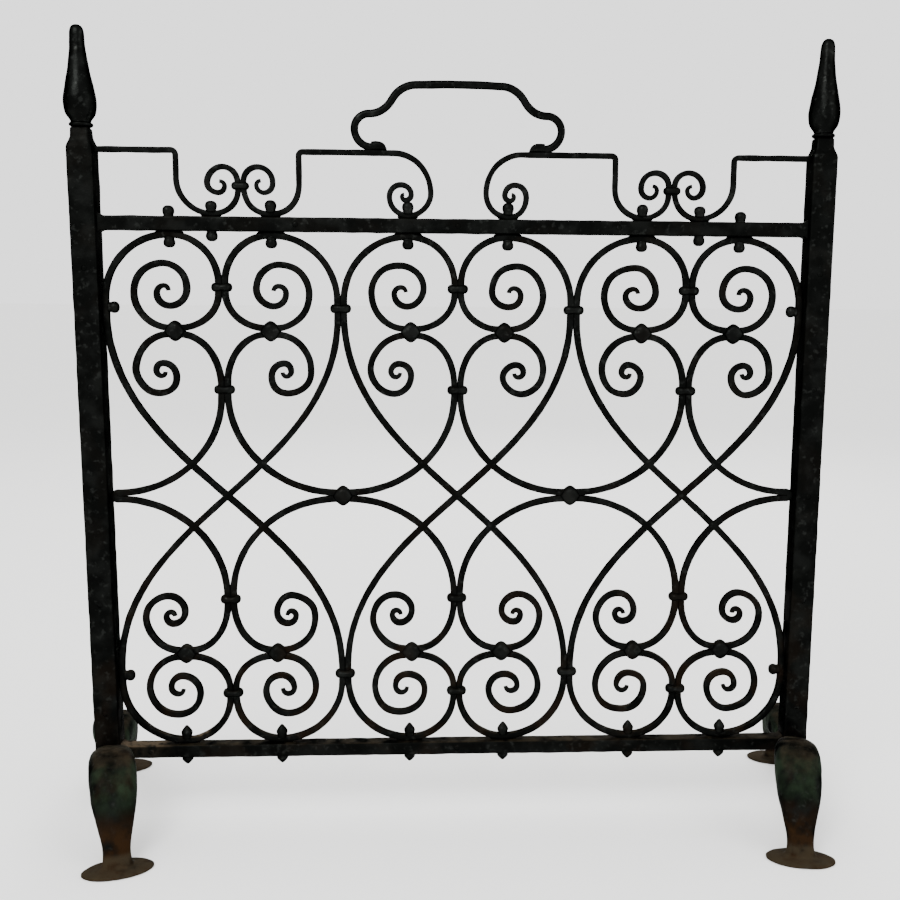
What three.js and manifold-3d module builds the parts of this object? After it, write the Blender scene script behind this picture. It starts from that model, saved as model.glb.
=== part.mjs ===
// A hand-forged iron fire screen: two square posts with flame finials, two rails, a grille of
// collared scrolls, a scrolled cresting with a carrying handle, and four sprung penny-foot legs.
// Millimetres, +Z up, the screen lies in the XZ plane and faces -Y. The origin is on the floor
// under the middle of the screen.

import * as THREE from 'three';
import { mergeVertices } from 'three/addons/utils/BufferGeometryUtils.js';
import Module from 'manifold-3d';

const wasm = await Module();
wasm.setup();

// ---- Driving dimensions ---------------------------------------------------------------------

const FIT = 0.3; // gap left between pieces that touch

const FRAME_WIDTH = 720; // between the post axes
const BOTTOM_RAIL_Z = 72;
const TOP_RAIL_Z = 609;
const RAIL_HEIGHT = 14;
const RAIL_DEPTH = 16;

const POST_SIDE = 25;
const POST_BELOW_RAIL = 4; // how far the post runs on under the bottom rail
const NECK_RISE = 17; // drawn-down neck above the shoulder
const NECK_SIDE = 17.5;

const BAR = 6; // square bar of the grille scrolls
const LAP_ROOM = 0.9; // side room in a lap, because the crossing bars are bent
const CREST_BAR = 5; // square bar of the cresting
const HANDLE_ROD = 7.5; // round rod of the handle

const STUD_BALL_RADIUS = 4.8;
const STUD_SHANK_RADIUS = 1.5;
const STUD_SEAT = 1; // how deep a stud's ball sits in a bare rail

const COLLAR_WALL = 3.6;
const COLLAR_LENGTH = 8;
const COLLAR_SEAT = 9; // straight length of bar that a collar sits on
const CREST_COLLAR_LENGTH = 6;
const CREST_COLLAR_SEAT = 7;

// The scrolls are drawn for a field of this clear width and height. In another field their bends
// keep their shape and follow whichever of the two is the tighter.
const PATTERN_WIDTH = 694.4;
const PATTERN_HEIGHT = 523;

// Each scroll is a chain of quarter bends, and an eye lists its radii from the outside in.
const LONG_SCROLL_INNER_SHOULDER = 46;
const LONG_SCROLL_TURN_IN = 35; // drop of the bend between the side collar and the stack collar
const LONG_SCROLL_EYE = [34, 28, 23.5, 17, 12.5, 7, 5];
const SHORT_SCROLL_SHOULDER = 50;
const SHORT_SCROLL_EYE = [35, 23, 17, 12.5, 7.5, 5, 4];
const STACK_REACH = 39; // sideways reach of the bends that lead to a stack collar
const LONG_SCROLL_FLAT = 14; // straight length at the outside of a long scroll
const LONG_SCROLL_SIDE_PULL = 80; // how long the side keeps its direction before it sweeps in
const LONG_SCROLL_WAIST_PULL = 72;
const WAIST_ANGLE = THREE.MathUtils.degToRad(42); // slope of the crossing at the waist

const CREST_HEIGHT = 59.2; // from the bars' lowest line to their top line
const CREST_CORNER_RADIUS = 4;
const CREST_BOWL_RADIUS = 32.5; // outer bowl of the cresting, next to the post
const CREST_CURL_SHOULDER = 23;
const CREST_CURL_REACH = 26;
const CREST_CURL_EYE = [14, 14.5, 9.5, 6.5, 4.5];
const CREST_STEP_RADIUS = 28; // bowl that climbs to the middle step
const CREST_END_RADIUS = 35;
const CREST_END_FIRST_BEND = 22;
const CREST_END_LAST_BENDS = [12, 9, 5.5];
const CURL_OVER_STUD = 0.6; // clear height between a stud's ball and the curl above it

const HANDLE_FOOT_X = 83.5;
const HANDLE_EAR_RADIUS = 17.3;
const HANDLE_EAR_TOP_RADIUS = 14.2;
const HANDLE_SHOULDER_RADIUS = 25.5;
const HANDLE_SHOULDER_TURN = THREE.MathUtils.degToRad(60);
const HANDLE_PAD_LENGTH = 17;
const HANDLE_PAD_WIDTH = 9;
const HANDLE_PAD_THICK = 6;

const FINIAL_HEIGHT = 94;
const FINIAL_BULB_RADIUS = 15.2;
const FINIAL_LIP_RADIUS = 10.8;

const FRONT_LEG_TURN = THREE.MathUtils.degToRad(15); // inward
const REAR_LEG_TURN = THREE.MathUtils.degToRad(11); // outward
const KNEE_HEIGHT = 94;
const KNEE_WIDTH = 45;
const ANKLE_WIDTH = 26;
const LEG_REACH = 121; // from the post's axis to the middle of the foot
const FOOT_WIDTH = 68;
const FOOT_DEPTH = 40;
const FOOT_THICK = 3.5;

// ---- Places that follow from them -----------------------------------------------------------

const POST_X = FRAME_WIDTH / 2;
const POST_FACE_X = POST_X - POST_SIDE / 2;
const MID_Z = (TOP_RAIL_Z + BOTTOM_RAIL_Z) / 2;
const FIELD_HALF_HEIGHT = (TOP_RAIL_Z - BOTTOM_RAIL_Z - RAIL_HEIGHT) / 2;

const PAIR_PITCH = (2 * (POST_FACE_X - FIT)) / 3; // three pairs of scrolls fill the frame
const TOUCH = (BAR + FIT) / 2; // offset of a bar's axis from the line where two bars lie together
const SCROLL_TOP = FIELD_HALF_HEIGHT - FIT - BAR / 2; // axis of a long scroll at its top
const PAIR_CENTRES = [-PAIR_PITCH, 0, PAIR_PITCH];
const PATTERN_SCALE = Math.min(
  (3 * PAIR_PITCH) / PATTERN_WIDTH,
  (2 * FIELD_HALF_HEIGHT) / PATTERN_HEIGHT,
);
const INNER_SHOULDER = PATTERN_SCALE * LONG_SCROLL_INNER_SHOULDER;
const SHORT_SHOULDER = PATTERN_SCALE * SHORT_SCROLL_SHOULDER;
const TURN_IN = PATTERN_SCALE * LONG_SCROLL_TURN_IN;
const TURN_REACH = PATTERN_SCALE * STACK_REACH;
const OUTER_SHOULDER = PAIR_PITCH / 2 - 2 * TOUCH - INNER_SHOULDER;
const STUD_OFFSET = TOUCH + INNER_SHOULDER; // from a pair's centre to a scroll's top
const OUTER_TOUCH_H = SCROLL_TOP - OUTER_SHOULDER;
const SIDE_COLLAR_H = OUTER_TOUCH_H - LONG_SCROLL_FLAT / 2;
const INNER_COLLAR_H = SCROLL_TOP - INNER_SHOULDER - COLLAR_SEAT / 2;
const STACK_COLLAR_H = INNER_COLLAR_H - COLLAR_SEAT / 2 - TURN_IN - TOUCH;
const STACK_COLLAR_OFFSET = TOUCH + TURN_REACH + COLLAR_SEAT / 2;
const SHORT_COLLAR_H = STACK_COLLAR_H - TOUCH - SHORT_SHOULDER - COLLAR_SEAT / 2;
const BOWL_RISE = SHORT_COLLAR_H - COLLAR_SEAT / 2 - TOUCH;

const CREST_TOUCH = (CREST_BAR + FIT) / 2;
const CREST_LOW_Z = TOP_RAIL_Z + RAIL_HEIGHT / 2 + FIT + CREST_BAR / 2;
const CREST_TOP_Z = CREST_LOW_Z + CREST_HEIGHT;
const SHOULDER_Z = CREST_TOP_Z + CREST_BAR / 2; // the post's shoulder is level with the cresting
const NECK_TOP_Z = SHOULDER_Z + NECK_RISE;
const CREST_LOOP_X = PAIR_PITCH - STUD_OFFSET; // the inner curl stands over this scroll's stud
const CURL_REACH = PATTERN_SCALE * CREST_CURL_REACH;
const CREST_COLLAR_X = CREST_LOOP_X + CURL_REACH + CREST_TOUCH;
const CREST_BOWL_X = CREST_COLLAR_X + CREST_TOUCH + CURL_REACH;
const CREST_COLLAR_H = CREST_CURL_SHOULDER + CREST_COLLAR_SEAT / 2;
const CREST_STUD_TOP_H = CREST_BAR / 2 + FIT + 2 * STUD_BALL_RADIUS;

// ---- Materials ------------------------------------------------------------------------------

function iron(colour, roughness) {
  return new THREE.MeshStandardMaterial({ color: colour, roughness, metalness: 0.85 });
}

const frameIron = () => iron(0x1b1b1a, 0.55);
const scrollIron = () => iron(0x161615, 0.6);
const crestIron = () => iron(0x1a1917, 0.6);
const collarIron = () => iron(0x201f1c, 0.5);
const finialIron = () => iron(0x171818, 0.38);
const handleIron = () => iron(0x141414, 0.45);
const legIron = () => iron(0x2e3026, 0.6);

// ---- Booleans -------------------------------------------------------------------------------

function solidOf(geometry) {
  const bare = geometry.clone();
  bare.deleteAttribute('normal');
  bare.deleteAttribute('uv');
  const merged = mergeVertices(bare, 1e-4);
  return new wasm.Manifold(new wasm.Mesh({
    numProp: 3,
    vertProperties: new Float32Array(merged.attributes.position.array),
    triVerts: new Uint32Array(merged.index.array),
  }));
}

function geometryOf(solid) {
  const mesh = solid.getMesh();
  const geometry = new THREE.BufferGeometry();
  geometry.setAttribute('position', new THREE.BufferAttribute(mesh.vertProperties, 3));
  geometry.setIndex(new THREE.BufferAttribute(mesh.triVerts, 1));
  geometry.computeVertexNormals();
  return geometry;
}

function joined(...geometries) {
  return geometryOf(geometries.map(solidOf).reduce((whole, part) => whole.add(part)));
}

function cut(geometry, tools) {
  return geometryOf(tools.reduce((rest, tool) => rest.subtract(solidOf(tool)), solidOf(geometry)));
}

function box(width, depth, height, x, y, z) {
  return new THREE.BoxGeometry(width, depth, height).translate(x, y, z);
}

// ---- Bent bars ------------------------------------------------------------------------------

// A bar's axis in the plane of the screen, laid down bend by bend like bar on a scroll iron.
// Every station keeps its own direction, so tight bends get as many stations as wide ones.
class BarPath extends THREE.Curve {
  constructor(x, h, heading) {
    super();
    this.stations = [];
    this.place(x, h, heading);
  }

  place(x, h, heading) {
    this.x = x;
    this.h = h;
    this.heading = heading;
    this.stations.push({ x, h, heading });
    return this;
  }

  line(length) {
    const x = this.x + length * Math.cos(this.heading);
    return this.place(x, this.h + length * Math.sin(this.heading), this.heading);
  }

  // Positive turns bend to the left of the heading.
  arc(radius, turn, steps) {
    const side = Math.sign(turn);
    const start = this.heading;
    const cx = this.x - side * radius * Math.sin(start);
    const ch = this.h + side * radius * Math.cos(start);
    for (let i = 1; i <= steps; i += 1) {
      const a = start + (turn * i) / steps;
      this.place(cx + side * radius * Math.sin(a), ch - side * radius * Math.cos(a), a);
    }
    return this;
  }

  // Successive quarter turns, each with its own radius, wind the bar into an eye.
  eye(radii, side) {
    radii.forEach((radius) => this.arc(radius, (side * Math.PI) / 2, radius > 15 ? 4 : 3));
    return this;
  }

  // A quarter of an ellipse that starts and ends along the X and H directions.
  quarterEllipse(reachX, reachH, side, steps) {
    const { x, h, heading: start } = this;
    const alongX = Math.abs(Math.cos(start)) > 0.5;
    const ahead = alongX ? reachX : reachH;
    const aside = alongX ? reachH : reachX;
    for (let i = 1; i <= steps; i += 1) {
      const a = (i / steps) * (Math.PI / 2);
      const forward = ahead * Math.sin(a);
      const sideways = side * aside * (1 - Math.cos(a));
      const turn = Math.atan2(side * aside * Math.sin(a), ahead * Math.cos(a));
      this.place(
        x + forward * Math.cos(start) - sideways * Math.sin(start),
        h + forward * Math.sin(start) + sideways * Math.cos(start),
        start + turn,
      );
    }
    return this;
  }

  // A long sweep to a point, leaving and arriving in given directions.
  sweep(x, h, heading, leavePull, arrivePull, steps) {
    const curve = new THREE.CubicBezierCurve(
      new THREE.Vector2(this.x, this.h),
      new THREE.Vector2(
        this.x + leavePull * Math.cos(this.heading),
        this.h + leavePull * Math.sin(this.heading),
      ),
      new THREE.Vector2(x - arrivePull * Math.cos(heading), h - arrivePull * Math.sin(heading)),
      new THREE.Vector2(x, h),
    );
    for (let i = 1; i <= steps; i += 1) {
      const p = curve.getPoint(i / steps);
      const t = curve.getTangent(i / steps);
      this.place(p.x, p.y, Math.atan2(t.y, t.x));
    }
    return this;
  }

  // The same stations walked from the far end.
  reversed() {
    const copy = new BarPath(0, 0, 0);
    copy.stations = this.stations.toReversed().map((s) => ({ ...s, heading: s.heading + Math.PI }));
    return copy;
  }

  // Stations sent through a mirror or turn, then joined after this path's own.
  followedBy(path) {
    const copy = new BarPath(0, 0, 0);
    copy.stations = [...this.stations, ...path.stations.slice(1)];
    return copy;
  }

  moved(change) {
    const copy = new BarPath(0, 0, 0);
    copy.stations = this.stations.map(change);
    return copy;
  }

  station(u) {
    return this.stations[Math.round(u * (this.stations.length - 1))];
  }

  getPoint(u) {
    const s = this.station(u);
    return new THREE.Vector3(s.x, 0, s.h);
  }

  getPointAt(u) {
    return this.getPoint(u);
  }

  getTangentAt(u) {
    const { heading } = this.station(u);
    return new THREE.Vector3(Math.cos(heading), 0, Math.sin(heading));
  }

  getSpacedPoints(divisions) {
    return Array.from({ length: divisions + 1 }, (_, i) => this.getPoint(i / divisions));
  }
}

const mirrorX = (about) => (s) => ({ x: 2 * about - s.x, h: s.h, heading: Math.PI - s.heading });
const mirrorH = (about) => (s) => ({ x: s.x, h: 2 * about - s.h, heading: -s.heading });
const halfTurn = (x, h) => (s) => ({ x: 2 * x - s.x, h: 2 * h - s.h, heading: s.heading + Math.PI });
const shifted = (x, h) => (s) => ({ x: s.x + x, h: s.h + h, heading: s.heading });

function squareSection(side) {
  const r = side / 2;
  return new THREE.Shape([[-r, -r], [r, -r], [r, r], [-r, r]].map(([x, y]) => new THREE.Vector2(x, y)));
}

function roundSection(diameter, sides) {
  const points = Array.from({ length: sides }, (_, i) => {
    const a = ((i + 0.5) / sides) * 2 * Math.PI;
    return new THREE.Vector2((diameter / 2) * Math.cos(a), (diameter / 2) * Math.sin(a));
  });
  return new THREE.Shape(points);
}

function barAlong(path, section) {
  return new THREE.ExtrudeGeometry(section, {
    steps: path.stations.length - 1,
    extrudePath: path,
    bevelEnabled: false,
  });
}

// ---- Where bars cross -----------------------------------------------------------------------

function crossings(pathA, pathB) {
  const found = [];
  const a = pathA.stations;
  const b = pathB.stations;
  for (let i = 0; i + 1 < a.length; i += 1) {
    const ax = a[i + 1].x - a[i].x;
    const ah = a[i + 1].h - a[i].h;
    for (let j = 0; j + 1 < b.length; j += 1) {
      const bx = b[j + 1].x - b[j].x;
      const bh = b[j + 1].h - b[j].h;
      const cross = ax * bh - ah * bx;
      const dx = b[j].x - a[i].x;
      const dh = b[j].h - a[i].h;
      const t = (dx * bh - dh * bx) / cross;
      const u = (dx * ah - dh * ax) / cross;
      if (cross !== 0 && t >= 0 && t < 1 && u >= 0 && u < 1) {
        const angleA = Math.atan2(ah, ax);
        const angleB = Math.atan2(bh, bx);
        found.push({ x: a[i].x + t * ax, h: a[i].h + t * ah, angleA, angleB });
      }
    }
  }
  return found;
}

// A lap: the half of a bar's depth that is cut away where another bar lies in it.
function lapTool(x, z, along, angle, front) {
  const meet = Math.abs(Math.sin(angle - along));
  const width = BAR + 2 * LAP_ROOM;
  const length = (width + BAR * Math.abs(Math.cos(angle - along))) / meet;
  const depth = BAR;
  const y = (front ? -1 : 1) * (depth / 2 - FIT / 2);
  return new THREE.BoxGeometry(length, depth, width).rotateY(-along).translate(x, y, z);
}

// ---- Bars of the grille ---------------------------------------------------------------------

const UP = Math.PI / 2;
const LEFT = -1;
const RIGHT = 1;

// Half of a long scroll, from its waist at the pair's centre up and round to its eye.
function longScrollHalf() {
  const outerX = -(PAIR_PITCH / 2 - TOUCH);
  const waistHeading = Math.PI - WAIST_ANGLE;
  const waistPull = PATTERN_SCALE * LONG_SCROLL_WAIST_PULL;
  const sidePull = PATTERN_SCALE * LONG_SCROLL_SIDE_PULL;
  return new BarPath(0, 0, waistHeading)
    .sweep(outerX, OUTER_TOUCH_H - LONG_SCROLL_FLAT, UP, waistPull, sidePull, 7)
    .line(LONG_SCROLL_FLAT)
    .arc(OUTER_SHOULDER, -UP, 5)
    .arc(INNER_SHOULDER, -UP, 5)
    .line(COLLAR_SEAT)
    .quarterEllipse(TURN_REACH, TURN_IN, -1, 4)
    .line(COLLAR_SEAT)
    .eye(LONG_SCROLL_EYE.map((radius) => PATTERN_SCALE * radius), -1);
}

function longScroll(pair, side) {
  const half = longScrollHalf();
  const whole = half.moved(halfTurn(0, 0)).reversed().followedBy(half);
  const turned = side === LEFT ? whole : whole.moved(mirrorX(0));
  return turned.moved(shifted(PAIR_CENTRES[pair], 0));
}

// Half of a short scroll: from the bottom of its bowl, out and up the side into its eye.
function shortScrollHalf(level, reach) {
  return new BarPath(0, TOUCH, 0)
    .line(level)
    .quarterEllipse(reach - level, BOWL_RISE, 1, 7)
    .line(COLLAR_SEAT)
    .quarterEllipse(TURN_REACH, SHORT_SHOULDER, 1, 4)
    .line(COLLAR_SEAT)
    .eye(SHORT_SCROLL_EYE.map((radius) => PATTERN_SCALE * radius), 1);
}

function shortScroll(between, upper) {
  const half = shortScrollHalf(COLLAR_SEAT / 2, PAIR_PITCH / 2 - TOUCH);
  const whole = half.moved(mirrorX(0)).reversed().followedBy(half);
  const turned = upper ? whole : whole.moved(mirrorH(0));
  return turned.moved(shifted(between, 0));
}

// A side scroll bends tight at the post, so its two eyes stand one over the other.
function sideScroll(side) {
  const bendX = POST_FACE_X - FIT - BAR / 2 - TOUCH;
  const half = shortScrollHalf(FIT, bendX - PAIR_PITCH - TOUCH).moved(shifted(-bendX, 0));
  const lower = half.moved(mirrorH(0)).reversed();
  const bend = new BarPath(-bendX, -TOUCH, Math.PI).arc(TOUCH, -Math.PI, 6);
  const whole = lower.followedBy(bend).followedBy(half);
  return side === LEFT ? whole : whole.moved(mirrorX(0));
}

const grilleBars = [];
PAIR_CENTRES.forEach((_, pair) => {
  grilleBars.push({ name: `long_scroll_${pair + 1}_left`, path: longScroll(pair, LEFT) });
  grilleBars.push({ name: `long_scroll_${pair + 1}_right`, path: longScroll(pair, RIGHT) });
});
[LEFT, RIGHT].forEach((side) => {
  const where = side === LEFT ? 'left' : 'right';
  grilleBars.push({ name: `bowl_scroll_upper_${where}`, path: shortScroll((side * PAIR_PITCH) / 2, true) });
  grilleBars.push({ name: `bowl_scroll_lower_${where}`, path: shortScroll((side * PAIR_PITCH) / 2, false) });
  grilleBars.push({ name: `side_scroll_${where}`, path: sideScroll(side) });
});

// ---- Studs ----------------------------------------------------------------------------------

const scrollTopXs = PAIR_CENTRES.flatMap((x) => [x - STUD_OFFSET, x + STUD_OFFSET]);
const crestLoopXs = [-CREST_LOOP_X, -STUD_OFFSET, STUD_OFFSET, CREST_LOOP_X];
const crestBowlXs = [-CREST_BOWL_X, CREST_BOWL_X];
const SIDE_STUD_H = SIDE_COLLAR_H;

function ball(x, z) {
  return new THREE.SphereGeometry(STUD_BALL_RADIUS, 6, 4).rotateX(UP).translate(x, 0, z);
}

function shank(radius, x, fromZ, toZ) {
  const length = Math.abs(toZ - fromZ);
  return new THREE.CylinderGeometry(radius, radius, length, 6)
    .rotateX(UP)
    .translate(x, 0, (fromZ + toZ) / 2);
}

// A ball-headed stud that stands out of a rail, past the bar that it holds if there is one.
function railStud(x, railZ, direction, held) {
  const past = held > 0 ? held + 2 * FIT : -STUD_SEAT;
  const z = railZ + direction * (RAIL_HEIGHT / 2 + past + STUD_BALL_RADIUS);
  return [ball(x, z), shank(STUD_SHANK_RADIUS, x, railZ, z)];
}

function sideStud(side, z) {
  const x = side * (POST_FACE_X - FIT - BAR - 2 * FIT - STUD_BALL_RADIUS);
  const rod = new THREE.CylinderGeometry(STUD_SHANK_RADIUS, STUD_SHANK_RADIUS, POST_X - Math.abs(x), 6);
  return [ball(x, z), rod.rotateZ(UP).translate((side * POST_X + x) / 2, 0, z)];
}

function barHoles(name) {
  const tools = [];
  const radius = STUD_SHANK_RADIUS + FIT;
  if (name.startsWith('long')) {
    [MID_Z + SCROLL_TOP, MID_Z - SCROLL_TOP].forEach((z) => {
      scrollTopXs.forEach((x) => tools.push(shank(radius, x, z - BAR, z + BAR)));
    });
    [LEFT, RIGHT].forEach((side) => {
      [MID_Z + SIDE_STUD_H, MID_Z - SIDE_STUD_H].forEach((z) => {
        const rod = new THREE.CylinderGeometry(radius, radius, 2 * BAR, 6).rotateZ(UP);
        tools.push(rod.translate(side * (POST_FACE_X - FIT - BAR / 2), 0, z));
      });
    });
  }
  return tools;
}

// ---- The parts ------------------------------------------------------------------------------

const screen = new THREE.Group();

function add(name, geometry, material) {
  const mesh = new THREE.Mesh(geometry, material);
  mesh.name = name;
  screen.add(mesh);
  return mesh;
}

function sideName(side) {
  return side < 0 ? 'left' : 'right';
}

function post(side) {
  const foot = BOTTOM_RAIL_Z - RAIL_HEIGHT / 2 - POST_BELOW_RAIL;
  const shaft = box(POST_SIDE, POST_SIDE, SHOULDER_Z - foot, 0, 0, (SHOULDER_Z + foot) / 2);
  const corner = Math.SQRT1_2;
  const neck = new THREE.CylinderGeometry(NECK_SIDE * corner, POST_SIDE * corner, NECK_RISE, 4)
    .rotateY(UP / 2)
    .rotateX(UP)
    .translate(0, 0, SHOULDER_Z + NECK_RISE / 2);
  const studs = [MID_Z - SIDE_STUD_H, MID_Z + SIDE_STUD_H].flatMap((z) => sideStud(side, z));
  const pieces = [shaft, neck].map((piece) => piece.translate(side * POST_X, 0, 0));
  return joined(...pieces, ...studs);
}

function finial() {
  const profile = new THREE.SplineCurve([
    [FINIAL_LIP_RADIUS - 1.6, 5],
    [FINIAL_BULB_RADIUS - 1.2, 13],
    [FINIAL_BULB_RADIUS, 22],
    [FINIAL_BULB_RADIUS - 2.6, 41],
    [9.6, 56],
    [7.6, 71],
    [6.6, FINIAL_HEIGHT - 10],
  ].map(([r, z]) => new THREE.Vector2(r, z))).getPoints(9);
  const outline = [
    new THREE.Vector2(0, 0),
    new THREE.Vector2(NECK_SIDE / 2 - 0.5, 0),
    new THREE.Vector2(FINIAL_LIP_RADIUS, 2),
    new THREE.Vector2(FINIAL_LIP_RADIUS, 4),
    ...profile,
    new THREE.Vector2(4.2, FINIAL_HEIGHT - 3),
    new THREE.Vector2(0, FINIAL_HEIGHT),
  ];
  return new THREE.LatheGeometry(outline, 12).rotateX(UP);
}

function rail(z, studs) {
  const length = 2 * (POST_FACE_X - FIT);
  return joined(box(length, RAIL_DEPTH, RAIL_HEIGHT, 0, 0, z), ...studs);
}

function topRail() {
  const under = scrollTopXs.flatMap((x) => railStud(x, TOP_RAIL_Z, -1, BAR));
  const crestXs = [...crestLoopXs, ...crestBowlXs];
  const over = crestXs.flatMap((x) => railStud(x, TOP_RAIL_Z, 1, CREST_BAR));
  const outerXs = [scrollTopXs[0], scrollTopXs.at(-1)];
  const bareOver = outerXs.flatMap((x) => railStud(x, TOP_RAIL_Z, 1, 0));
  const bareUnder = crestBowlXs.flatMap((x) => railStud(x, TOP_RAIL_Z, -1, 0));
  return rail(TOP_RAIL_Z, [...under, ...over, ...bareOver, ...bareUnder]);
}

function bottomRail() {
  const over = scrollTopXs.flatMap((x) => railStud(x, BOTTOM_RAIL_Z, 1, BAR));
  const under = scrollTopXs.flatMap((x) => railStud(x, BOTTOM_RAIL_Z, -1, 0));
  return rail(BOTTOM_RAIL_Z, [...over, ...under]);
}

// A strap bent round two bars that lie together on the straight of their collar seats.
function collar(barSide, length, alongX) {
  const halfWide = barSide + FIT / 2 + FIT;
  const halfDeep = barSide / 2 + FIT;
  const w = halfWide + COLLAR_WALL;
  const d = halfDeep + COLLAR_WALL;
  const round = COLLAR_WALL;
  const outline = new THREE.Shape([
    [w, round - d], [w, d - round], [w - round, d], [round - w, d],
    [-w, d - round], [-w, round - d], [round - w, -d], [w - round, -d],
  ].map(([x, y]) => new THREE.Vector2(x, y)));
  const block = new THREE.ExtrudeGeometry(outline, { depth: length, bevelEnabled: false });
  block.translate(0, 0, -length / 2);
  const ring = cut(block, [box(2 * halfWide, 2 * halfDeep, 2 * length, 0, 0, 0)]);
  return alongX ? ring.rotateY(UP) : ring;
}

function collarPlaces() {
  const places = [];
  [1, -1].forEach((half) => {
    PAIR_CENTRES.forEach((x) => {
      places.push({ x, h: half * INNER_COLLAR_H });
      places.push({ x, h: half * SHORT_COLLAR_H });
      [LEFT, RIGHT].forEach((side) => {
        places.push({ x: x + side * STACK_COLLAR_OFFSET, h: half * STACK_COLLAR_H, alongX: true });
      });
    });
    [LEFT, RIGHT].forEach((side) => {
      places.push({ x: (side * PAIR_PITCH) / 2, h: half * SIDE_COLLAR_H });
    });
  });
  [LEFT, RIGHT].forEach((side) => {
    places.push({ x: (side * PAIR_PITCH) / 2, h: 0, alongX: true });
  });
  return places;
}

// ---- Cresting -------------------------------------------------------------------------------

// Outer bar: from the post along the top, down into a bowl, and up into a curl.
function outerCrest() {
  const startX = -(POST_FACE_X - FIT);
  const bowlX = -CREST_BOWL_X;
  const cornerX = bowlX - CREST_BOWL_RADIUS;
  const level = cornerX - CREST_CORNER_RADIUS - startX;
  const drop = CREST_HEIGHT - CREST_CORNER_RADIUS - CREST_BOWL_RADIUS;
  return new BarPath(startX, CREST_HEIGHT, 0)
    .line(level)
    .arc(CREST_CORNER_RADIUS, -UP, 3)
    .line(drop)
    .arc(CREST_BOWL_RADIUS, UP, 5)
    .quarterEllipse(CURL_REACH, CREST_CURL_SHOULDER, 1, 4)
    .line(CREST_COLLAR_SEAT)
    .eye(CREST_CURL_EYE, 1);
}

// The last curl's second bend is as wide as brings the curl's end just over the stud's ball.
function crestEndEye() {
  const [top, ...down] = CREST_END_LAST_BENDS;
  const endH = CREST_STUD_TOP_H + CURL_OVER_STUD + CREST_BAR / 2;
  const second = endH + down.reduce((sum, radius) => sum + radius, 0) - top;
  return [CREST_END_FIRST_BEND, second, ...CREST_END_LAST_BENDS];
}

// Inner bar: a curl, a bowl, a step up to the middle, and a last curl under the handle.
function innerCrest() {
  const cornerX = -CREST_LOOP_X + CREST_STEP_RADIUS;
  const drop = CREST_HEIGHT - CREST_CORNER_RADIUS - CREST_STEP_RADIUS;
  const endX = -STUD_OFFSET + CREST_END_FIRST_BEND - CREST_END_RADIUS;
  const endFall = CREST_HEIGHT - CREST_END_FIRST_BEND;
  const curl = new BarPath(-CREST_LOOP_X, 0, Math.PI)
    .quarterEllipse(CURL_REACH, CREST_CURL_SHOULDER, -1, 4)
    .line(CREST_COLLAR_SEAT)
    .eye(CREST_CURL_EYE, -1);
  const rest = new BarPath(-CREST_LOOP_X, 0, 0)
    .arc(CREST_STEP_RADIUS, UP, 4)
    .line(drop)
    .arc(CREST_CORNER_RADIUS, -UP, 3)
    .line(endX - cornerX - CREST_CORNER_RADIUS)
    .quarterEllipse(CREST_END_RADIUS, endFall, -1, 5)
    .eye(crestEndEye(), -1);
  return curl.reversed().followedBy(rest);
}

function crestHoles() {
  const radius = STUD_SHANK_RADIUS + FIT;
  return [...crestLoopXs, ...crestBowlXs]
    .map((x) => shank(radius, x, CREST_LOW_Z - CREST_BAR, CREST_LOW_Z + CREST_BAR));
}

function crestBar(path) {
  const bar = barAlong(path, squareSection(CREST_BAR)).translate(0, 0, CREST_LOW_Z);
  return cut(bar, crestHoles());
}

// ---- Handle ---------------------------------------------------------------------------------

function handlePath() {
  const drop = HANDLE_EAR_RADIUS + HANDLE_EAR_TOP_RADIUS;
  const earTopX = HANDLE_FOOT_X + HANDLE_EAR_RADIUS - HANDLE_EAR_TOP_RADIUS;
  const shoulderRun = 2 * HANDLE_SHOULDER_RADIUS * Math.sin(HANDLE_SHOULDER_TURN);
  const shoulderDrop = 2 * HANDLE_SHOULDER_RADIUS * (1 - Math.cos(HANDLE_SHOULDER_TURN));
  const half = new BarPath(0, drop + shoulderDrop, 0)
    .line(earTopX - shoulderRun)
    .arc(HANDLE_SHOULDER_RADIUS, -HANDLE_SHOULDER_TURN, 4)
    .arc(HANDLE_SHOULDER_RADIUS, HANDLE_SHOULDER_TURN, 4)
    .arc(HANDLE_EAR_TOP_RADIUS, -UP, 4)
    .arc(HANDLE_EAR_RADIUS, -UP, 4);
  return half.moved(mirrorX(0)).reversed().followedBy(half);
}

function handle() {
  const path = handlePath();
  const seatZ = CREST_TOP_Z + CREST_BAR / 2 + FIT;
  const padTop = seatZ + HANDLE_PAD_THICK;
  const rod = barAlong(path, roundSection(HANDLE_ROD, 8)).translate(0, 0, padTop - HANDLE_ROD / 4);
  const pads = [LEFT, RIGHT].map((side) => (
    box(HANDLE_PAD_LENGTH, HANDLE_PAD_WIDTH, padTop - seatZ, side * HANDLE_FOOT_X, 0, (padTop + seatZ) / 2)
  ));
  return joined(rod, ...pads);
}

// ---- Legs -----------------------------------------------------------------------------------

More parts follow.
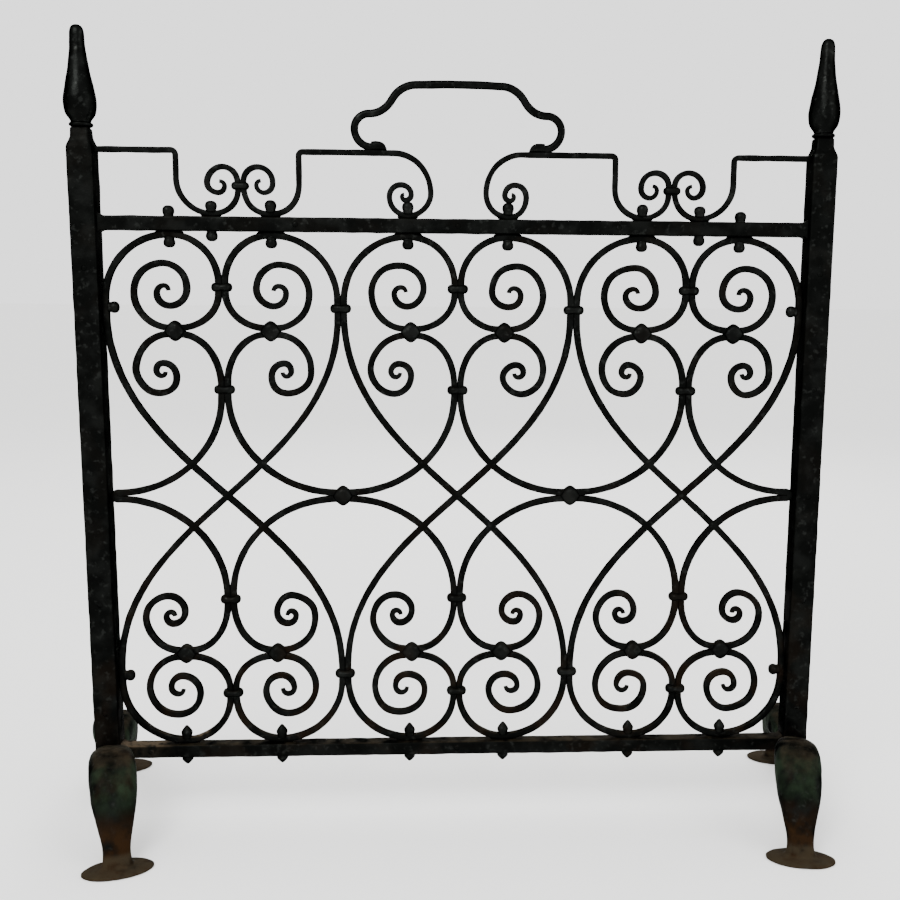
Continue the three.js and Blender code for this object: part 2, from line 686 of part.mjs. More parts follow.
// A leg springs from the post, rises over a broad knee and runs down to a thin oval foot. It is
// where a side outline and a front outline meet, so both views keep their own shape.
function leg(side, front) {
  const rootZ = BOTTOM_RAIL_Z - RAIL_HEIGHT / 2;
  const outline = new THREE.Shape();
  outline.moveTo(0, rootZ - 2);
  outline.quadraticCurveTo(LEG_REACH * 0.38, rootZ + 8, LEG_REACH * 0.62, rootZ - 14);
  outline.quadraticCurveTo(LEG_REACH * 0.83, rootZ - 38, LEG_REACH - 9, FOOT_THICK / 2);
  outline.lineTo(LEG_REACH + 7, FOOT_THICK / 2);
  outline.quadraticCurveTo(LEG_REACH - 2, KNEE_HEIGHT * 0.45, LEG_REACH * 0.74, KNEE_HEIGHT - 12);
  outline.quadraticCurveTo(LEG_REACH * 0.6, KNEE_HEIGHT + 4, LEG_REACH * 0.42, KNEE_HEIGHT - 1);
  outline.quadraticCurveTo(LEG_REACH * 0.2, KNEE_HEIGHT - 8, 0, KNEE_HEIGHT - 12);
  outline.closePath();
  const bladeOptions = { depth: KNEE_WIDTH, bevelEnabled: false, curveSegments: 5 };
  const blade = new THREE.ExtrudeGeometry(outline, bladeOptions)
    .translate(0, 0, -KNEE_WIDTH / 2)
    .rotateX(UP)
    .rotateZ(UP);

  const face = new THREE.Shape();
  const knee = KNEE_WIDTH / 2;
  const ankle = ANKLE_WIDTH / 2;
  face.moveTo(-ankle - 4, 0);
  face.quadraticCurveTo(-ankle + 1, 8, -ankle, 22);
  face.quadraticCurveTo(-ankle - 1, 34, -knee + 1, 56);
  face.quadraticCurveTo(-knee - 1, KNEE_HEIGHT - 14, -knee + 8, KNEE_HEIGHT - 3);
  face.lineTo(-knee + 14, KNEE_HEIGHT + 2);
  face.lineTo(knee - 14, KNEE_HEIGHT + 2);
  face.lineTo(knee - 8, KNEE_HEIGHT - 3);
  face.quadraticCurveTo(knee + 1, KNEE_HEIGHT - 14, knee - 1, 56);
  face.quadraticCurveTo(ankle + 1, 34, ankle, 22);
  face.quadraticCurveTo(ankle - 1, 8, ankle + 4, 0);
  face.closePath();
  const root = POST_SIDE / 2 + FIT;
  const end = LEG_REACH + 20;
  const blockOptions = { depth: end - root, bevelEnabled: false, curveSegments: 4 };
  const block = new THREE.ExtrudeGeometry(face, blockOptions)
    .rotateX(UP)
    .translate(0, end, 0);
  const body = solidOf(blade).intersect(solidOf(block));

  const foot = new THREE.CylinderGeometry(FOOT_DEPTH / 2 - 1.5, FOOT_DEPTH / 2, FOOT_THICK, 20)
    .rotateX(UP)
    .scale(FOOT_WIDTH / FOOT_DEPTH, 1, 1)
    .translate(0, LEG_REACH, FOOT_THICK / 2);
  const angle = front ? Math.PI - side * FRONT_LEG_TURN : -side * REAR_LEG_TURN;
  const turn = new THREE.Matrix4().makeRotationZ(angle);
  const place = new THREE.Matrix4().makeTranslation(side * POST_X, 0, 0).multiply(turn);
  const whole = geometryOf(body.add(solidOf(foot))).applyMatrix4(place);
  const room = POST_SIDE + 2 * FIT;
  const postRoom = box(room, room, 4 * KNEE_HEIGHT, side * POST_X, 0, 0);
  const railRoom = box(FRAME_WIDTH, RAIL_DEPTH + 2 * FIT, RAIL_HEIGHT + 2 * FIT, 0, 0, BOTTOM_RAIL_Z);
  return cut(whole, [postRoom, railRoom]);
}

// ---- Assembly -------------------------------------------------------------------------------

[LEFT, RIGHT].forEach((side) => {
  add(`post_${sideName(side)}`, post(side), frameIron());
  const cap = add(`finial_${sideName(side)}`, finial(), finialIron());
  cap.position.set(side * POST_X, 0, NECK_TOP_Z + FIT);
  add(`leg_front_${sideName(side)}`, leg(side, true), legIron());
  add(`leg_rear_${sideName(side)}`, leg(side, false), legIron());
});
add('top_rail', topRail(), frameIron());
add('bottom_rail', bottomRail(), frameIron());

grilleBars.forEach((bar, index) => {
  const laps = grilleBars.flatMap((other, otherIndex) => {
    if (other === bar) return [];
    return crossings(bar.path, other.path)
      .map((at) => lapTool(at.x, MID_Z + at.h, at.angleB, at.angleA, index < otherIndex));
  });
  const solid = barAlong(bar.path, squareSection(BAR)).translate(0, 0, MID_Z);
  add(bar.name, cut(solid, [...laps, ...barHoles(bar.name)]), scrollIron());
});

collarPlaces().forEach((at, index) => {
  const ring = collar(BAR, COLLAR_LENGTH, at.alongX).translate(at.x, 0, MID_Z + at.h);
  add(`collar_${String(index + 1).padStart(2, '0')}`, ring, collarIron());
});

[['crest_outer', outerCrest()], ['crest_inner', innerCrest()]].forEach(([name, path]) => {
  add(`${name}_left`, crestBar(path), crestIron());
  add(`${name}_right`, crestBar(path.moved(mirrorX(0))), crestIron());
});
[LEFT, RIGHT].forEach((side) => {
  const ring = collar(CREST_BAR, CREST_COLLAR_LENGTH, false);
  ring.translate(side * CREST_COLLAR_X, 0, CREST_LOW_Z + CREST_COLLAR_H);
  add(`crest_collar_${sideName(side)}`, ring, collarIron());
});

add('carry_handle', handle(), handleIron());

export default screen;
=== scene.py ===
import math

import bmesh
import bpy
from mathutils import Matrix, Vector, noise


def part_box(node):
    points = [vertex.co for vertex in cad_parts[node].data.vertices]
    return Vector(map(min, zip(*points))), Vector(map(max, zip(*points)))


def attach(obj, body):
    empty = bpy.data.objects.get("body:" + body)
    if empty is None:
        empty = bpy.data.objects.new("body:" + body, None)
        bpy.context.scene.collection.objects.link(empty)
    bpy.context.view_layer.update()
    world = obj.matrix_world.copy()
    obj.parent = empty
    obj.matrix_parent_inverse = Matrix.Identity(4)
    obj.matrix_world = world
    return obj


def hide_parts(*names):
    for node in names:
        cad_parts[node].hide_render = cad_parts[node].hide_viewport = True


bl_info = {
    "name": "Forged Fire Screen",
    "version": (1, 0, 0),
    "blender": (4, 5, 0),
    "location": "View3D > Sidebar > Fire Screen",
    "description": "Makes the visible pieces of a forged-iron fire screen round its frame",
    "category": "Object",
}

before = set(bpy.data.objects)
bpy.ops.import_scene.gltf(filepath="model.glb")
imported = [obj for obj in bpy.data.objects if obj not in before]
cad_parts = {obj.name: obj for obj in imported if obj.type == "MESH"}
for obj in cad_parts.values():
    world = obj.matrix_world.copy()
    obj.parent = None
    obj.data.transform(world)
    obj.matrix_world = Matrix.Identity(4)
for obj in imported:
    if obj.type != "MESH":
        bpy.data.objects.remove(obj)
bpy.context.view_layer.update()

MM = 0.001
QUARTER = math.pi / 2
FIT = 0.3 * MM  # gap that the frame leaves between pieces that touch
LEFT, RIGHT = -1, 1
SIDES = {LEFT: "left", RIGHT: "right"}


# ---- Places read from the frame -------------------------------------------------------------


def centre(node):
    low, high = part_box(node)
    return (low + high) / 2


def span(node):
    low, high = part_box(node)
    return high - low


BAR = 6 * MM
CREST_BAR = 5 * MM
RAIL_HEIGHT = 14 * MM
RAIL_DEPTH = 16 * MM
POST_SIDE = 25 * MM
POST_X = centre("finial_right").x
POST_FACE_X = POST_X - POST_SIDE / 2
MID_Z = centre("long_scroll_2_left").z
FIELD_TOP_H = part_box("long_scroll_2_left")[1].z + FIT - MID_Z
TOP_RAIL_Z = MID_Z + FIELD_TOP_H + RAIL_HEIGHT / 2
BOTTOM_RAIL_Z = MID_Z - FIELD_TOP_H - RAIL_HEIGHT / 2
PAIR_PITCH = 2 * (POST_FACE_X - FIT) / 3
PAIR_CENTRES = (-PAIR_PITCH, 0.0, PAIR_PITCH)
TOUCH = (BAR + FIT) / 2
SCROLL_TOP = FIELD_TOP_H - FIT - BAR / 2
CREST_LOW_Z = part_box("crest_outer_left")[0].z + CREST_BAR / 2
CREST_TOP_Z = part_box("crest_outer_left")[1].z - CREST_BAR / 2
CREST_HEIGHT = CREST_TOP_Z - CREST_LOW_Z

# Bends of the grille's scrolls. An eye lists its radii from the outside in.
INNER_SHOULDER = 46 * MM
OUTER_SHOULDER = PAIR_PITCH / 2 - 2 * TOUCH - INNER_SHOULDER
SHORT_SHOULDER = 50 * MM
TURN_REACH = 39 * MM
TURN_IN = 35 * MM
SEAT = 9 * MM  # straight length of bar under a collar
LONG_FLAT = 14 * MM
SIDE_PULL = 80 * MM
WAIST_PULL = 72 * MM
WAIST_ANGLE = math.radians(42)
LONG_EYE = [r * MM for r in (34, 28, 23.5, 17, 12.5, 7, 5)]
SHORT_EYE = [r * MM for r in (35, 23, 17, 12.5, 7.5, 5, 4)]

STUD_OFFSET = TOUCH + INNER_SHOULDER
OUTER_TOUCH_H = SCROLL_TOP - OUTER_SHOULDER
SIDE_COLLAR_H = OUTER_TOUCH_H - LONG_FLAT / 2
STACK_COLLAR_H = SCROLL_TOP - INNER_SHOULDER - SEAT - TURN_IN - TOUCH
SHORT_COLLAR_H = STACK_COLLAR_H - TOUCH - SHORT_SHOULDER - SEAT / 2
BOWL_RISE = SHORT_COLLAR_H - SEAT / 2 - TOUCH

FREE_END = 190 * MM  # how much of a bar's end is bent freely by hand
FREE_EASE = 60 * MM  # and over what length that freedom fades out
TIP_LENGTH = 36 * MM  # how much of it is drawn down thinner
STRAY_LENGTH = 26 * MM  # distance between one stray to the side and the next

# Bends of the cresting.
CREST_CORNER = 4 * MM
CREST_BOWL = 32.5 * MM
CREST_STEP = 28 * MM
CREST_END = 35 * MM
CURL_REACH = 26 * MM
CURL_SHOULDER = 23 * MM
CREST_SEAT = 7 * MM
CURL_EYE = [r * MM for r in (14, 14.5, 9.5, 6.5, 4.5)]
END_EYE = [r * MM for r in (22, 18, 12, 9, 5.5)]
END_TIP = [r * MM for r in (3.4, 2.2)]  # last tight bend, drawn finer than the frame shows it
CREST_LOOP_X = PAIR_PITCH - STUD_OFFSET
CREST_BOWL_X = CREST_LOOP_X + 2 * CURL_REACH + CREST_BAR + FIT


# ---- Sizes and colours a user would change --------------------------------------------------


class ScreenSizes(bpy.types.PropertyGroup):
    """Hand-work that the frame leaves to the visible pieces."""

    hammer_depth: bpy.props.FloatProperty(
        name="Hammer depth", description="How deep the broad hammer marks are",
        default=0.32 * MM, unit="LENGTH",
    )
    tip_share: bpy.props.FloatProperty(
        name="Tip", description="Thickness of a scroll's tip as a share of the bar",
        default=0.62, subtype="FACTOR",
    )
    stud_radius: bpy.props.FloatProperty(
        name="Stud", description="Radius of a stud's ball", default=5.8 * MM, unit="LENGTH",
    )
    collar_wall: bpy.props.FloatProperty(
        name="Collar wall", description="How far a collar stands out from its bars",
        default=4.2 * MM, unit="LENGTH",
    )
    swell: bpy.props.FloatProperty(
        name="Swell", description="Thickness of the forged bars beside the frame's plain ones",
        default=1.09, subtype="FACTOR",
    )
    waver: bpy.props.FloatProperty(
        name="Waver", description="How far the hand-bent eyes stray from a true spiral",
        default=1.3 * MM, unit="LENGTH",
    )
    rod: bpy.props.FloatProperty(
        name="Handle rod", description="Diameter of the handle", default=7.5 * MM, unit="LENGTH",
    )


class ScreenFinish(bpy.types.PropertyGroup):
    """Colours of the iron, of what lies on it and of the sheen painted on the knees."""

    iron: bpy.props.FloatVectorProperty(
        name="Iron", description="Black of the forged iron", default=(0.0024, 0.0026, 0.0024),
        size=3, subtype="COLOR",
    )
    # Painted highlight: a greenish grey sheen painted into the knees' colour where light falls on their
    # bend.
    painted_sheen: bpy.props.FloatVectorProperty(
        name="Painted sheen", description="Greenish grey sheen on the knees", default=(0.011, 0.018, 0.010),
        size=3, subtype="COLOR",
    )
    rust: bpy.props.FloatVectorProperty(
        name="Rust", description="Brown rust near the floor", default=(0.014, 0.0070, 0.003),
        size=3, subtype="COLOR",
    )
    dust: bpy.props.FloatVectorProperty(
        name="Dust", description="Pale dust on faces that look up", default=(0.026, 0.020, 0.012),
        size=3, subtype="COLOR",
    )


# ---- Materials ------------------------------------------------------------------------------


def shader_node(tree, kind, inputs=None, **settings):
    """One shader node, with its inputs given as values or as another node's output."""
    node = tree.nodes.new(kind)
    for key, value in settings.items():
        setattr(node, key, value)
    for key, value in (inputs or {}).items():
        if isinstance(value, bpy.types.NodeSocket):
            tree.links.new(value, node.inputs[key])
        else:
            node.inputs[key].default_value = value
    return node


def blend_colour(tree, share, first, second):
    mix = shader_node(tree, "ShaderNodeMix", data_type="RGBA")
    for index, value in ((0, share), (6, first), (7, second)):
        if isinstance(value, bpy.types.NodeSocket):
            tree.links.new(value, mix.inputs[index])
        else:
            mix.inputs[index].default_value = value if index == 0 else (*value[:3], 1)
    return mix.outputs[2]


def patches(tree, coords, scale, low, high, detail=5.0):
    """A share from 0 to 1 that turns noise into patches between two levels."""
    cloud = shader_node(
        tree, "ShaderNodeTexNoise", {"Vector": coords, "Scale": scale, "Detail": detail}
    )
    spread = shader_node(
        tree, "ShaderNodeMapRange",
        {"Value": cloud.outputs["Fac"], "From Min": low, "From Max": high},
        interpolation_type="SMOOTHSTEP",
    )
    return spread.outputs["Result"]


def times(tree, first, second):
    node = shader_node(tree, "ShaderNodeMath", {0: first, 1: second}, operation="MULTIPLY")
    return node.outputs[0]


def ramp(tree, value, start, end):
    """A share that eases from 0 to 1 between two values."""
    node = shader_node(
        tree, "ShaderNodeMapRange", {"Value": value, "From Min": start, "From Max": end},
        interpolation_type="SMOOTHSTEP",
    )
    return node.outputs["Result"]


def plus(tree, first, second):
    node = shader_node(
        tree, "ShaderNodeMath", {0: first, 1: second}, operation="ADD", use_clamp=True
    )
    return node.outputs[0]


def close_to(tree, coords, place, radius):
    """A share that is 1 at a place on the object and 0 beyond a ragged edge around it."""
    gap = shader_node(tree, "ShaderNodeVectorMath", {0: coords, 1: place}, operation="DISTANCE")
    return ramp(tree, gap.outputs["Value"], radius, radius * 0.35)


# Heights in metres between which each kind of weathering, and the painted sheen on the knee, comes in:
# (where none is, where all is).
LOW_DOWN = (0.34, 0.06)
KNEE_FROM_BELOW = (0.040, 0.070)
KNEE_FROM_ABOVE = (0.095, 0.078)
SHIN_SHARES = (1.0, 0.45)  # of the height below which a leg is weathered
EARTH_SHARES = (0.30, 0.20)
SCALE_PALER = 2.2  # how much paler than the iron its scale is
WORN_PALER = 6


def iron_colour(tree, coords, iron):
    """Black iron under paler scale, with small worn spots."""
    pale = tuple(c * SCALE_PALER for c in iron)
    worn = tuple(c * WORN_PALER for c in iron)
    colour = blend_colour(tree, patches(tree, coords, 55.0, 0.40, 0.70), iron, pale)
    worn_share = times(tree, patches(tree, coords, 190.0, 0.56, 0.72, 6.0), 0.6)
    return blend_colour(tree, worn_share, colour, worn)


def leg_weather_and_sheen(tree, coords, height, top, colour, cover):
    """Painted greenish sheen (a painted highlight) on the knee, rust down the shin and earth on the
    foot.
    """
    finish = bpy.context.scene.screen_finish
    stretched = shader_node(
        tree, "ShaderNodeMapping", {"Vector": coords, "Scale": (1.0, 1.0, 0.55)}
    ).outputs["Vector"]
    # The knee band gets a painted highlight: a greenish sheen painted into its colour where light falls
    # on the bend.
    knee = times(tree, ramp(tree, height, *KNEE_FROM_BELOW), ramp(tree, height, *KNEE_FROM_ABOVE))
    painted_sheen = times(tree, patches(tree, stretched, 48.0, 0.38, 0.66, 7.0), knee)
    painted_sheen_share = times(tree, painted_sheen, 0.9)
    colour = blend_colour(tree, painted_sheen_share, colour, finish.painted_sheen)

    shin = ramp(tree, height, *(share * top for share in SHIN_SHARES))
    shin_share = times(tree, shin, patches(tree, coords, 60.0, 0.30, 0.62, 9.0))
    colour = blend_colour(tree, shin_share, colour, finish.rust)

    earth = ramp(tree, height, *(share * top for share in EARTH_SHARES))
    earth_share = times(tree, earth, patches(tree, coords, 110.0, 0.22, 0.60, 9.0))
    colour = blend_colour(tree, times(tree, earth_share, 0.7), colour, finish.dust)
    # The painted sheen counts with rust and earth as cover, so the iron is less metallic there too.
    return colour, plus(tree, plus(tree, cover, shin_share), plus(tree, earth_share, painted_sheen_share))


def spotted(tree, coords, facing_up, spots, colour, cover):
    """Single marks, strongest on faces that look up."""
    for place, radius, tone in spots:
        ragged = patches(tree, coords, 150.0, 0.28, 0.60, 10.0)
        upward = plus(tree, 0.12, ramp(tree, facing_up, -0.1, 0.8))
        near = close_to(tree, coords, place, radius)
        spot_share = times(tree, times(tree, near, ragged), upward)
        colour = blend_colour(tree, spot_share, colour, tone)
        cover = plus(tree, cover, spot_share)
    return colour, cover


def hammer_and_scale(tree, coords):
    """The normal of a face with broad dents and fine scale."""
    broad = shader_node(
        tree, "ShaderNodeTexNoise", {"Vector": coords, "Scale": 140.0, "Detail": 2.0}
    ).outputs["Fac"]
    scale_marks = shader_node(
        tree, "ShaderNodeTexNoise", {"Vector": coords, "Scale": 900.0, "Detail": 6.0}
    ).outputs["Fac"]
    dents = shader_node(
        tree, "ShaderNodeBump", {"Height": broad, "Strength": 0.6, "Distance": 0.9 * MM}
    ).outputs["Normal"]
    fine = shader_node(
        tree, "ShaderNodeBump",
        {"Height": scale_marks, "Strength": 0.4, "Distance": 0.18 * MM, "Normal": dents},
    )
    return fine.outputs["Normal"]


def forged_iron(name, gloss, rust=0.25, dust=0.35, brightness=1.0, weathered_to=None, spots=()):
    """Black forged iron: hammer marks, fine scale, rust patches and dust on upper faces.

    Rust and dust grow towards the floor. weathered_to is the height below which rust and earth
    take over, as on the legs; it also brings the painted sheen on the knee. spots holds (place, radius,
    colour) for single marks.
    """
    finish = bpy.context.scene.screen_finish
    material = bpy.data.materials.new(name)
    material.use_nodes = True
    tree = material.node_tree
    shader = tree.nodes["Principled BSDF"]
    coords = shader_node(tree, "ShaderNodeTexCoord").outputs["Object"]
    height = shader_node(tree, "ShaderNodeSeparateXYZ", {"Vector": coords}).outputs["Z"]
    face = shader_node(tree, "ShaderNodeNewGeometry").outputs["Normal"]
    facing_up = shader_node(tree, "ShaderNodeSeparateXYZ", {"Vector": face}).outputs["Z"]
    low_down = ramp(tree, height, *LOW_DOWN)

    colour = iron_colour(tree, coords, tuple(c * brightness for c in finish.iron))
    rust_here = times(tree, patches(tree, coords, 24.0, 0.50, 0.64, 8.0), rust)
    cover = times(tree, rust_here, plus(tree, 0.25, low_down))
    colour = blend_colour(tree, cover, colour, finish.rust)
    if weathered_to:
        colour, cover = leg_weather_and_sheen(tree, coords, height, weathered_to, colour, cover)

    lying = patches(tree, coords, 70.0, 0.30, 0.68, 8.0)
    settled = times(tree, ramp(tree, facing_up, 0.50, 0.95), lying)
    dust_share = times(tree, times(tree, settled, dust), plus(tree, 0.3, low_down))
    colour = blend_colour(tree, dust_share, colour, finish.dust)
    cover = plus(tree, cover, dust_share)
    colour, cover = spotted(tree, coords, facing_up, spots, colour, cover)
    tree.links.new(colour, shader.inputs["Base Color"])

    bare = shader_node(
        tree, "ShaderNodeMath", {0: 1.0, 1: cover}, operation="SUBTRACT", use_clamp=True
    )
    tree.links.new(bare.outputs[0], shader.inputs["Metallic"])
    rubbed = times(tree, patches(tree, coords, 120.0, 0.30, 0.75, 7.0), 0.5)
    worn = shader_node(
        tree, "ShaderNodeMapRange",
        {"Value": plus(tree, rubbed, cover), "To Min": gloss - 0.06, "To Max": gloss + 0.34},
    )
    tree.links.new(worn.outputs["Result"], shader.inputs["Roughness"])
    tree.links.new(hammer_and_scale(tree, coords), shader.inputs["Normal"])
    shader.inputs["Specular IOR Level"].default_value = 0.03
    shader.inputs["Specular Tint"].default_value = (0.20, 0.21, 0.20, 1)
    return material


# Single marks: (place, radius, colour).
ASH = (0.052, 0.038, 0.024)
RAIL_ASH = ((-0.325, -0.002, 0.079), 0.036, ASH)  # on the left end of the bottom rail
SCROLL_ASH = ((-0.265, 0.0, 0.088), 0.014, ASH)  # on the scroll's bend just above it

IRONS = {
    "frame_iron": {"gloss": 0.46, "rust": 0.15, "dust": 0.6, "spots": (RAIL_ASH,)},
    "scroll_iron": {"gloss": 0.50, "rust": 0.35, "dust": 0.45, "spots": (SCROLL_ASH,)},
    "crest_iron": {"gloss": 0.50, "rust": 0.12, "dust": 0.20},
    "collar_iron": {"gloss": 0.40, "rust": 0.20, "dust": 0.30, "brightness": 1.5},
    "finial_iron": {"gloss": 0.30, "rust": 0.05, "dust": 0.10, "brightness": 1.1},
    "handle_iron": {"gloss": 0.38, "rust": 0.05, "dust": 0.10},
    "leg_iron": {"gloss": 0.48, "rust": 0.35, "dust": 0.55, "weathered_to": 0.058},
}


def iron_for(slot):
    look = "forged_" + slot
    return bpy.data.materials.get(look) or forged_iron(look, **IRONS[slot])


# ---- Putting a piece in place ---------------------------------------------------------------


def settle(piece, slot, *nodes):
    """Last step of every piece: its material, its body and the frame nodes it stands for."""
    if not piece.data.materials:
        piece.data.materials.append(iron_for(slot))
    piece.data.shade_smooth()
    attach(piece, "root")
    if nodes:
        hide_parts(*nodes)
    return piece


def piece_of(name, mesh):
    piece = bpy.data.objects.new(name, mesh)
    bpy.context.scene.collection.objects.link(piece)
    return piece


def evaluated(source, name):
    """A plain mesh piece made from what an object's modifiers give."""
    depsgraph = bpy.context.evaluated_depsgraph_get()
    mesh = bpy.data.meshes.new_from_object(source.evaluated_get(depsgraph), depsgraph=depsgraph)
    mesh.name = name
    bpy.data.objects.remove(source)
    return piece_of(name, mesh)


BROAD_BLOW = 13 * MM
FINE_BLOW = 4.5 * MM


def hammered(mesh, depth, seed):
    """Moves the skin in and out by broad blows and by finer ones between them."""
    shift = Vector((seed * 1.37, seed * 0.73, seed * 2.11))
    normals = [v.normal.copy() for v in mesh.vertices]
    for vertex, normal in zip(mesh.vertices, normals):
        broad = noise.noise(vertex.co / BROAD_BLOW + shift)
        small = noise.noise(vertex.co / FINE_BLOW - shift)
        vertex.co += normal * depth * (broad + 0.3 * small)


# ---- A bar's axis ---------------------------------------------------------------------------


class BarPath:
    """A bar's axis in the plane of the screen, bent step by step like bar on a scroll iron."""

    STEP = 2.2 * MM

    def __init__(self, x, h, heading):
        self.heading = heading
        self.points = [(x, h)]

    def go(self, x, h, heading):
        self.points.append((x, h))
        self.heading = heading
        return self

    def steps(self, length):
        return max(3, math.ceil(length / self.STEP))

    def line(self, length):
        x, h = self.points[-1]
        c, s = math.cos(self.heading), math.sin(self.heading)
        count = self.steps(length)
        for i in range(1, count + 1):
            self.go(x + length * c * i / count, h + length * s * i / count, self.heading)
        return self

    def arc(self, radius, turn):
        """Positive turns bend to the left of the heading."""
        side = math.copysign(1, turn)
        start = self.heading
        x, h = self.points[-1]
        cx, ch = x - side * radius * math.sin(start), h + side * radius * math.cos(start)
        count = max(6, self.steps(radius * abs(turn)))
        for i in range(1, count + 1):
            a = start + turn * i / count
            self.go(cx + side * radius * math.sin(a), ch - side * radius * math.cos(a), a)
        return self

    def eye(self, radii, side):
        for radius in radii:
            self.arc(radius, side * QUARTER)
        return self

    def quarter_ellipse(self, reach_x, reach_h, side):
        x, h = self.points[-1]
        start = self.heading
        along_x = abs(math.cos(start)) > 0.5
        ahead, aside = (reach_x, reach_h) if along_x else (reach_h, reach_x)
        c, s = math.cos(start), math.sin(start)
        count = self.steps(QUARTER * (ahead + aside) / 2)
        for i in range(1, count + 1):
            a = QUARTER * i / count
            forward = ahead * math.sin(a)
            sideways = side * aside * (1 - math.cos(a))
            turn = math.atan2(side * aside * math.sin(a), ahead * math.cos(a))
            self.go(x + forward * c - sideways * s, h + forward * s + sideways * c, start + turn)
        return self

    def sweep(self, x, h, heading, leave_pull, arrive_pull):
        """A long easy bend to a point, leaving and arriving in given directions."""
        p0 = Vector(self.points[-1])
        p1 = p0 + leave_pull * Vector((math.cos(self.heading), math.sin(self.heading)))
        p3 = Vector((x, h))
        p2 = p3 - arrive_pull * Vector((math.cos(heading), math.sin(heading)))
        count = self.steps((p1 - p0).length + (p2 - p1).length + (p3 - p2).length)
        for i in range(1, count + 1):
            t = i / count
            leaving = (1 - t) ** 3 * p0 + 3 * t * (1 - t) ** 2 * p1
            p = leaving + 3 * t * t * (1 - t) * p2 + t**3 * p3
            self.go(p.x, p.y, heading)
        return self


def mirrored_x(points, about=0.0):
    return [(2 * about - x, h) for x, h in points]


def mirrored_h(points):
    return [(x, -h) for x, h in points]


def half_turned(points):
    return [(-x, -h) for x, h in points]


def shifted(points, dx):
    return [(x + dx, h) for x, h in points]


def whole_from(half, opposite):
    """Joins a half to its opposite, which starts at the same point."""
    return opposite[::-1] + half[1:]


def long_scroll(pair, side):
    half = BarPath(0, 0, math.pi - WAIST_ANGLE)
    side_x = -(PAIR_PITCH / 2 - TOUCH)
    half.sweep(side_x, OUTER_TOUCH_H - LONG_FLAT, QUARTER, WAIST_PULL, SIDE_PULL)
    half.line(LONG_FLAT).arc(OUTER_SHOULDER, -QUARTER).arc(INNER_SHOULDER, -QUARTER).line(SEAT)
    half.quarter_ellipse(TURN_REACH, TURN_IN, -1).line(SEAT).eye(LONG_EYE, -1)
    whole = whole_from(half.points, half_turned(half.points))
    turned = whole if side == LEFT else mirrored_x(whole)
    return shifted(turned, PAIR_CENTRES[pair])


def short_half(level, reach):
    half = BarPath(0, TOUCH, 0).line(level).quarter_ellipse(reach - level, BOWL_RISE, 1)
    half.line(SEAT).quarter_ellipse(TURN_REACH, SHORT_SHOULDER, 1).line(SEAT).eye(SHORT_EYE, 1)
    return half.points


def bowl_scroll(side, upper):
    half = short_half(SEAT / 2, PAIR_PITCH / 2 - TOUCH)
    whole = whole_from(half, mirrored_x(half))
    return shifted(whole if upper else mirrored_h(whole), side * PAIR_PITCH / 2)


def side_scroll(side):
    bend_x = POST_FACE_X - FIT - BAR / 2 - TOUCH
    half = shifted(short_half(FIT, bend_x - PAIR_PITCH - TOUCH), -bend_x)
    bend = BarPath(-bend_x, -TOUCH, math.pi).arc(TOUCH, -math.pi)
    whole = mirrored_h(half)[::-1] + bend.points[1:] + half[1:]
    return whole if side == LEFT else mirrored_x(whole)


def outer_crest():
    start_x = -(POST_FACE_X - FIT)
    level = -CREST_BOWL_X - CREST_BOWL - CREST_CORNER - start_x
    path = BarPath(start_x, CREST_HEIGHT, 0).line(level).arc(CREST_CORNER, -QUARTER)
    path.line(CREST_HEIGHT - CREST_CORNER - CREST_BOWL).arc(CREST_BOWL, QUARTER)
    path.quarter_ellipse(CURL_REACH, CURL_SHOULDER, 1).line(CREST_SEAT).eye(CURL_EYE, 1)
    return path.points


def inner_crest():
    end_x = -STUD_OFFSET + END_EYE[0] - CREST_END
    corner_x = -CREST_LOOP_X + CREST_STEP
    curl = BarPath(-CREST_LOOP_X, 0, math.pi)
    curl.quarter_ellipse(CURL_REACH, CURL_SHOULDER, -1).line(CREST_SEAT).eye(CURL_EYE, -1)
    rest = BarPath(-CREST_LOOP_X, 0, 0).arc(CREST_STEP, QUARTER)
    rest.line(CREST_HEIGHT - CREST_CORNER - CREST_STEP).arc(CREST_CORNER, -QUARTER)
    rest.line(end_x - corner_x - CREST_CORNER)
    rest.quarter_ellipse(CREST_END, CREST_HEIGHT - END_EYE[0], -1).eye(END_EYE + END_TIP, -1)
    return whole_from(rest.points, curl.points)


# ---- Geometry Nodes -------------------------------------------------------------------------


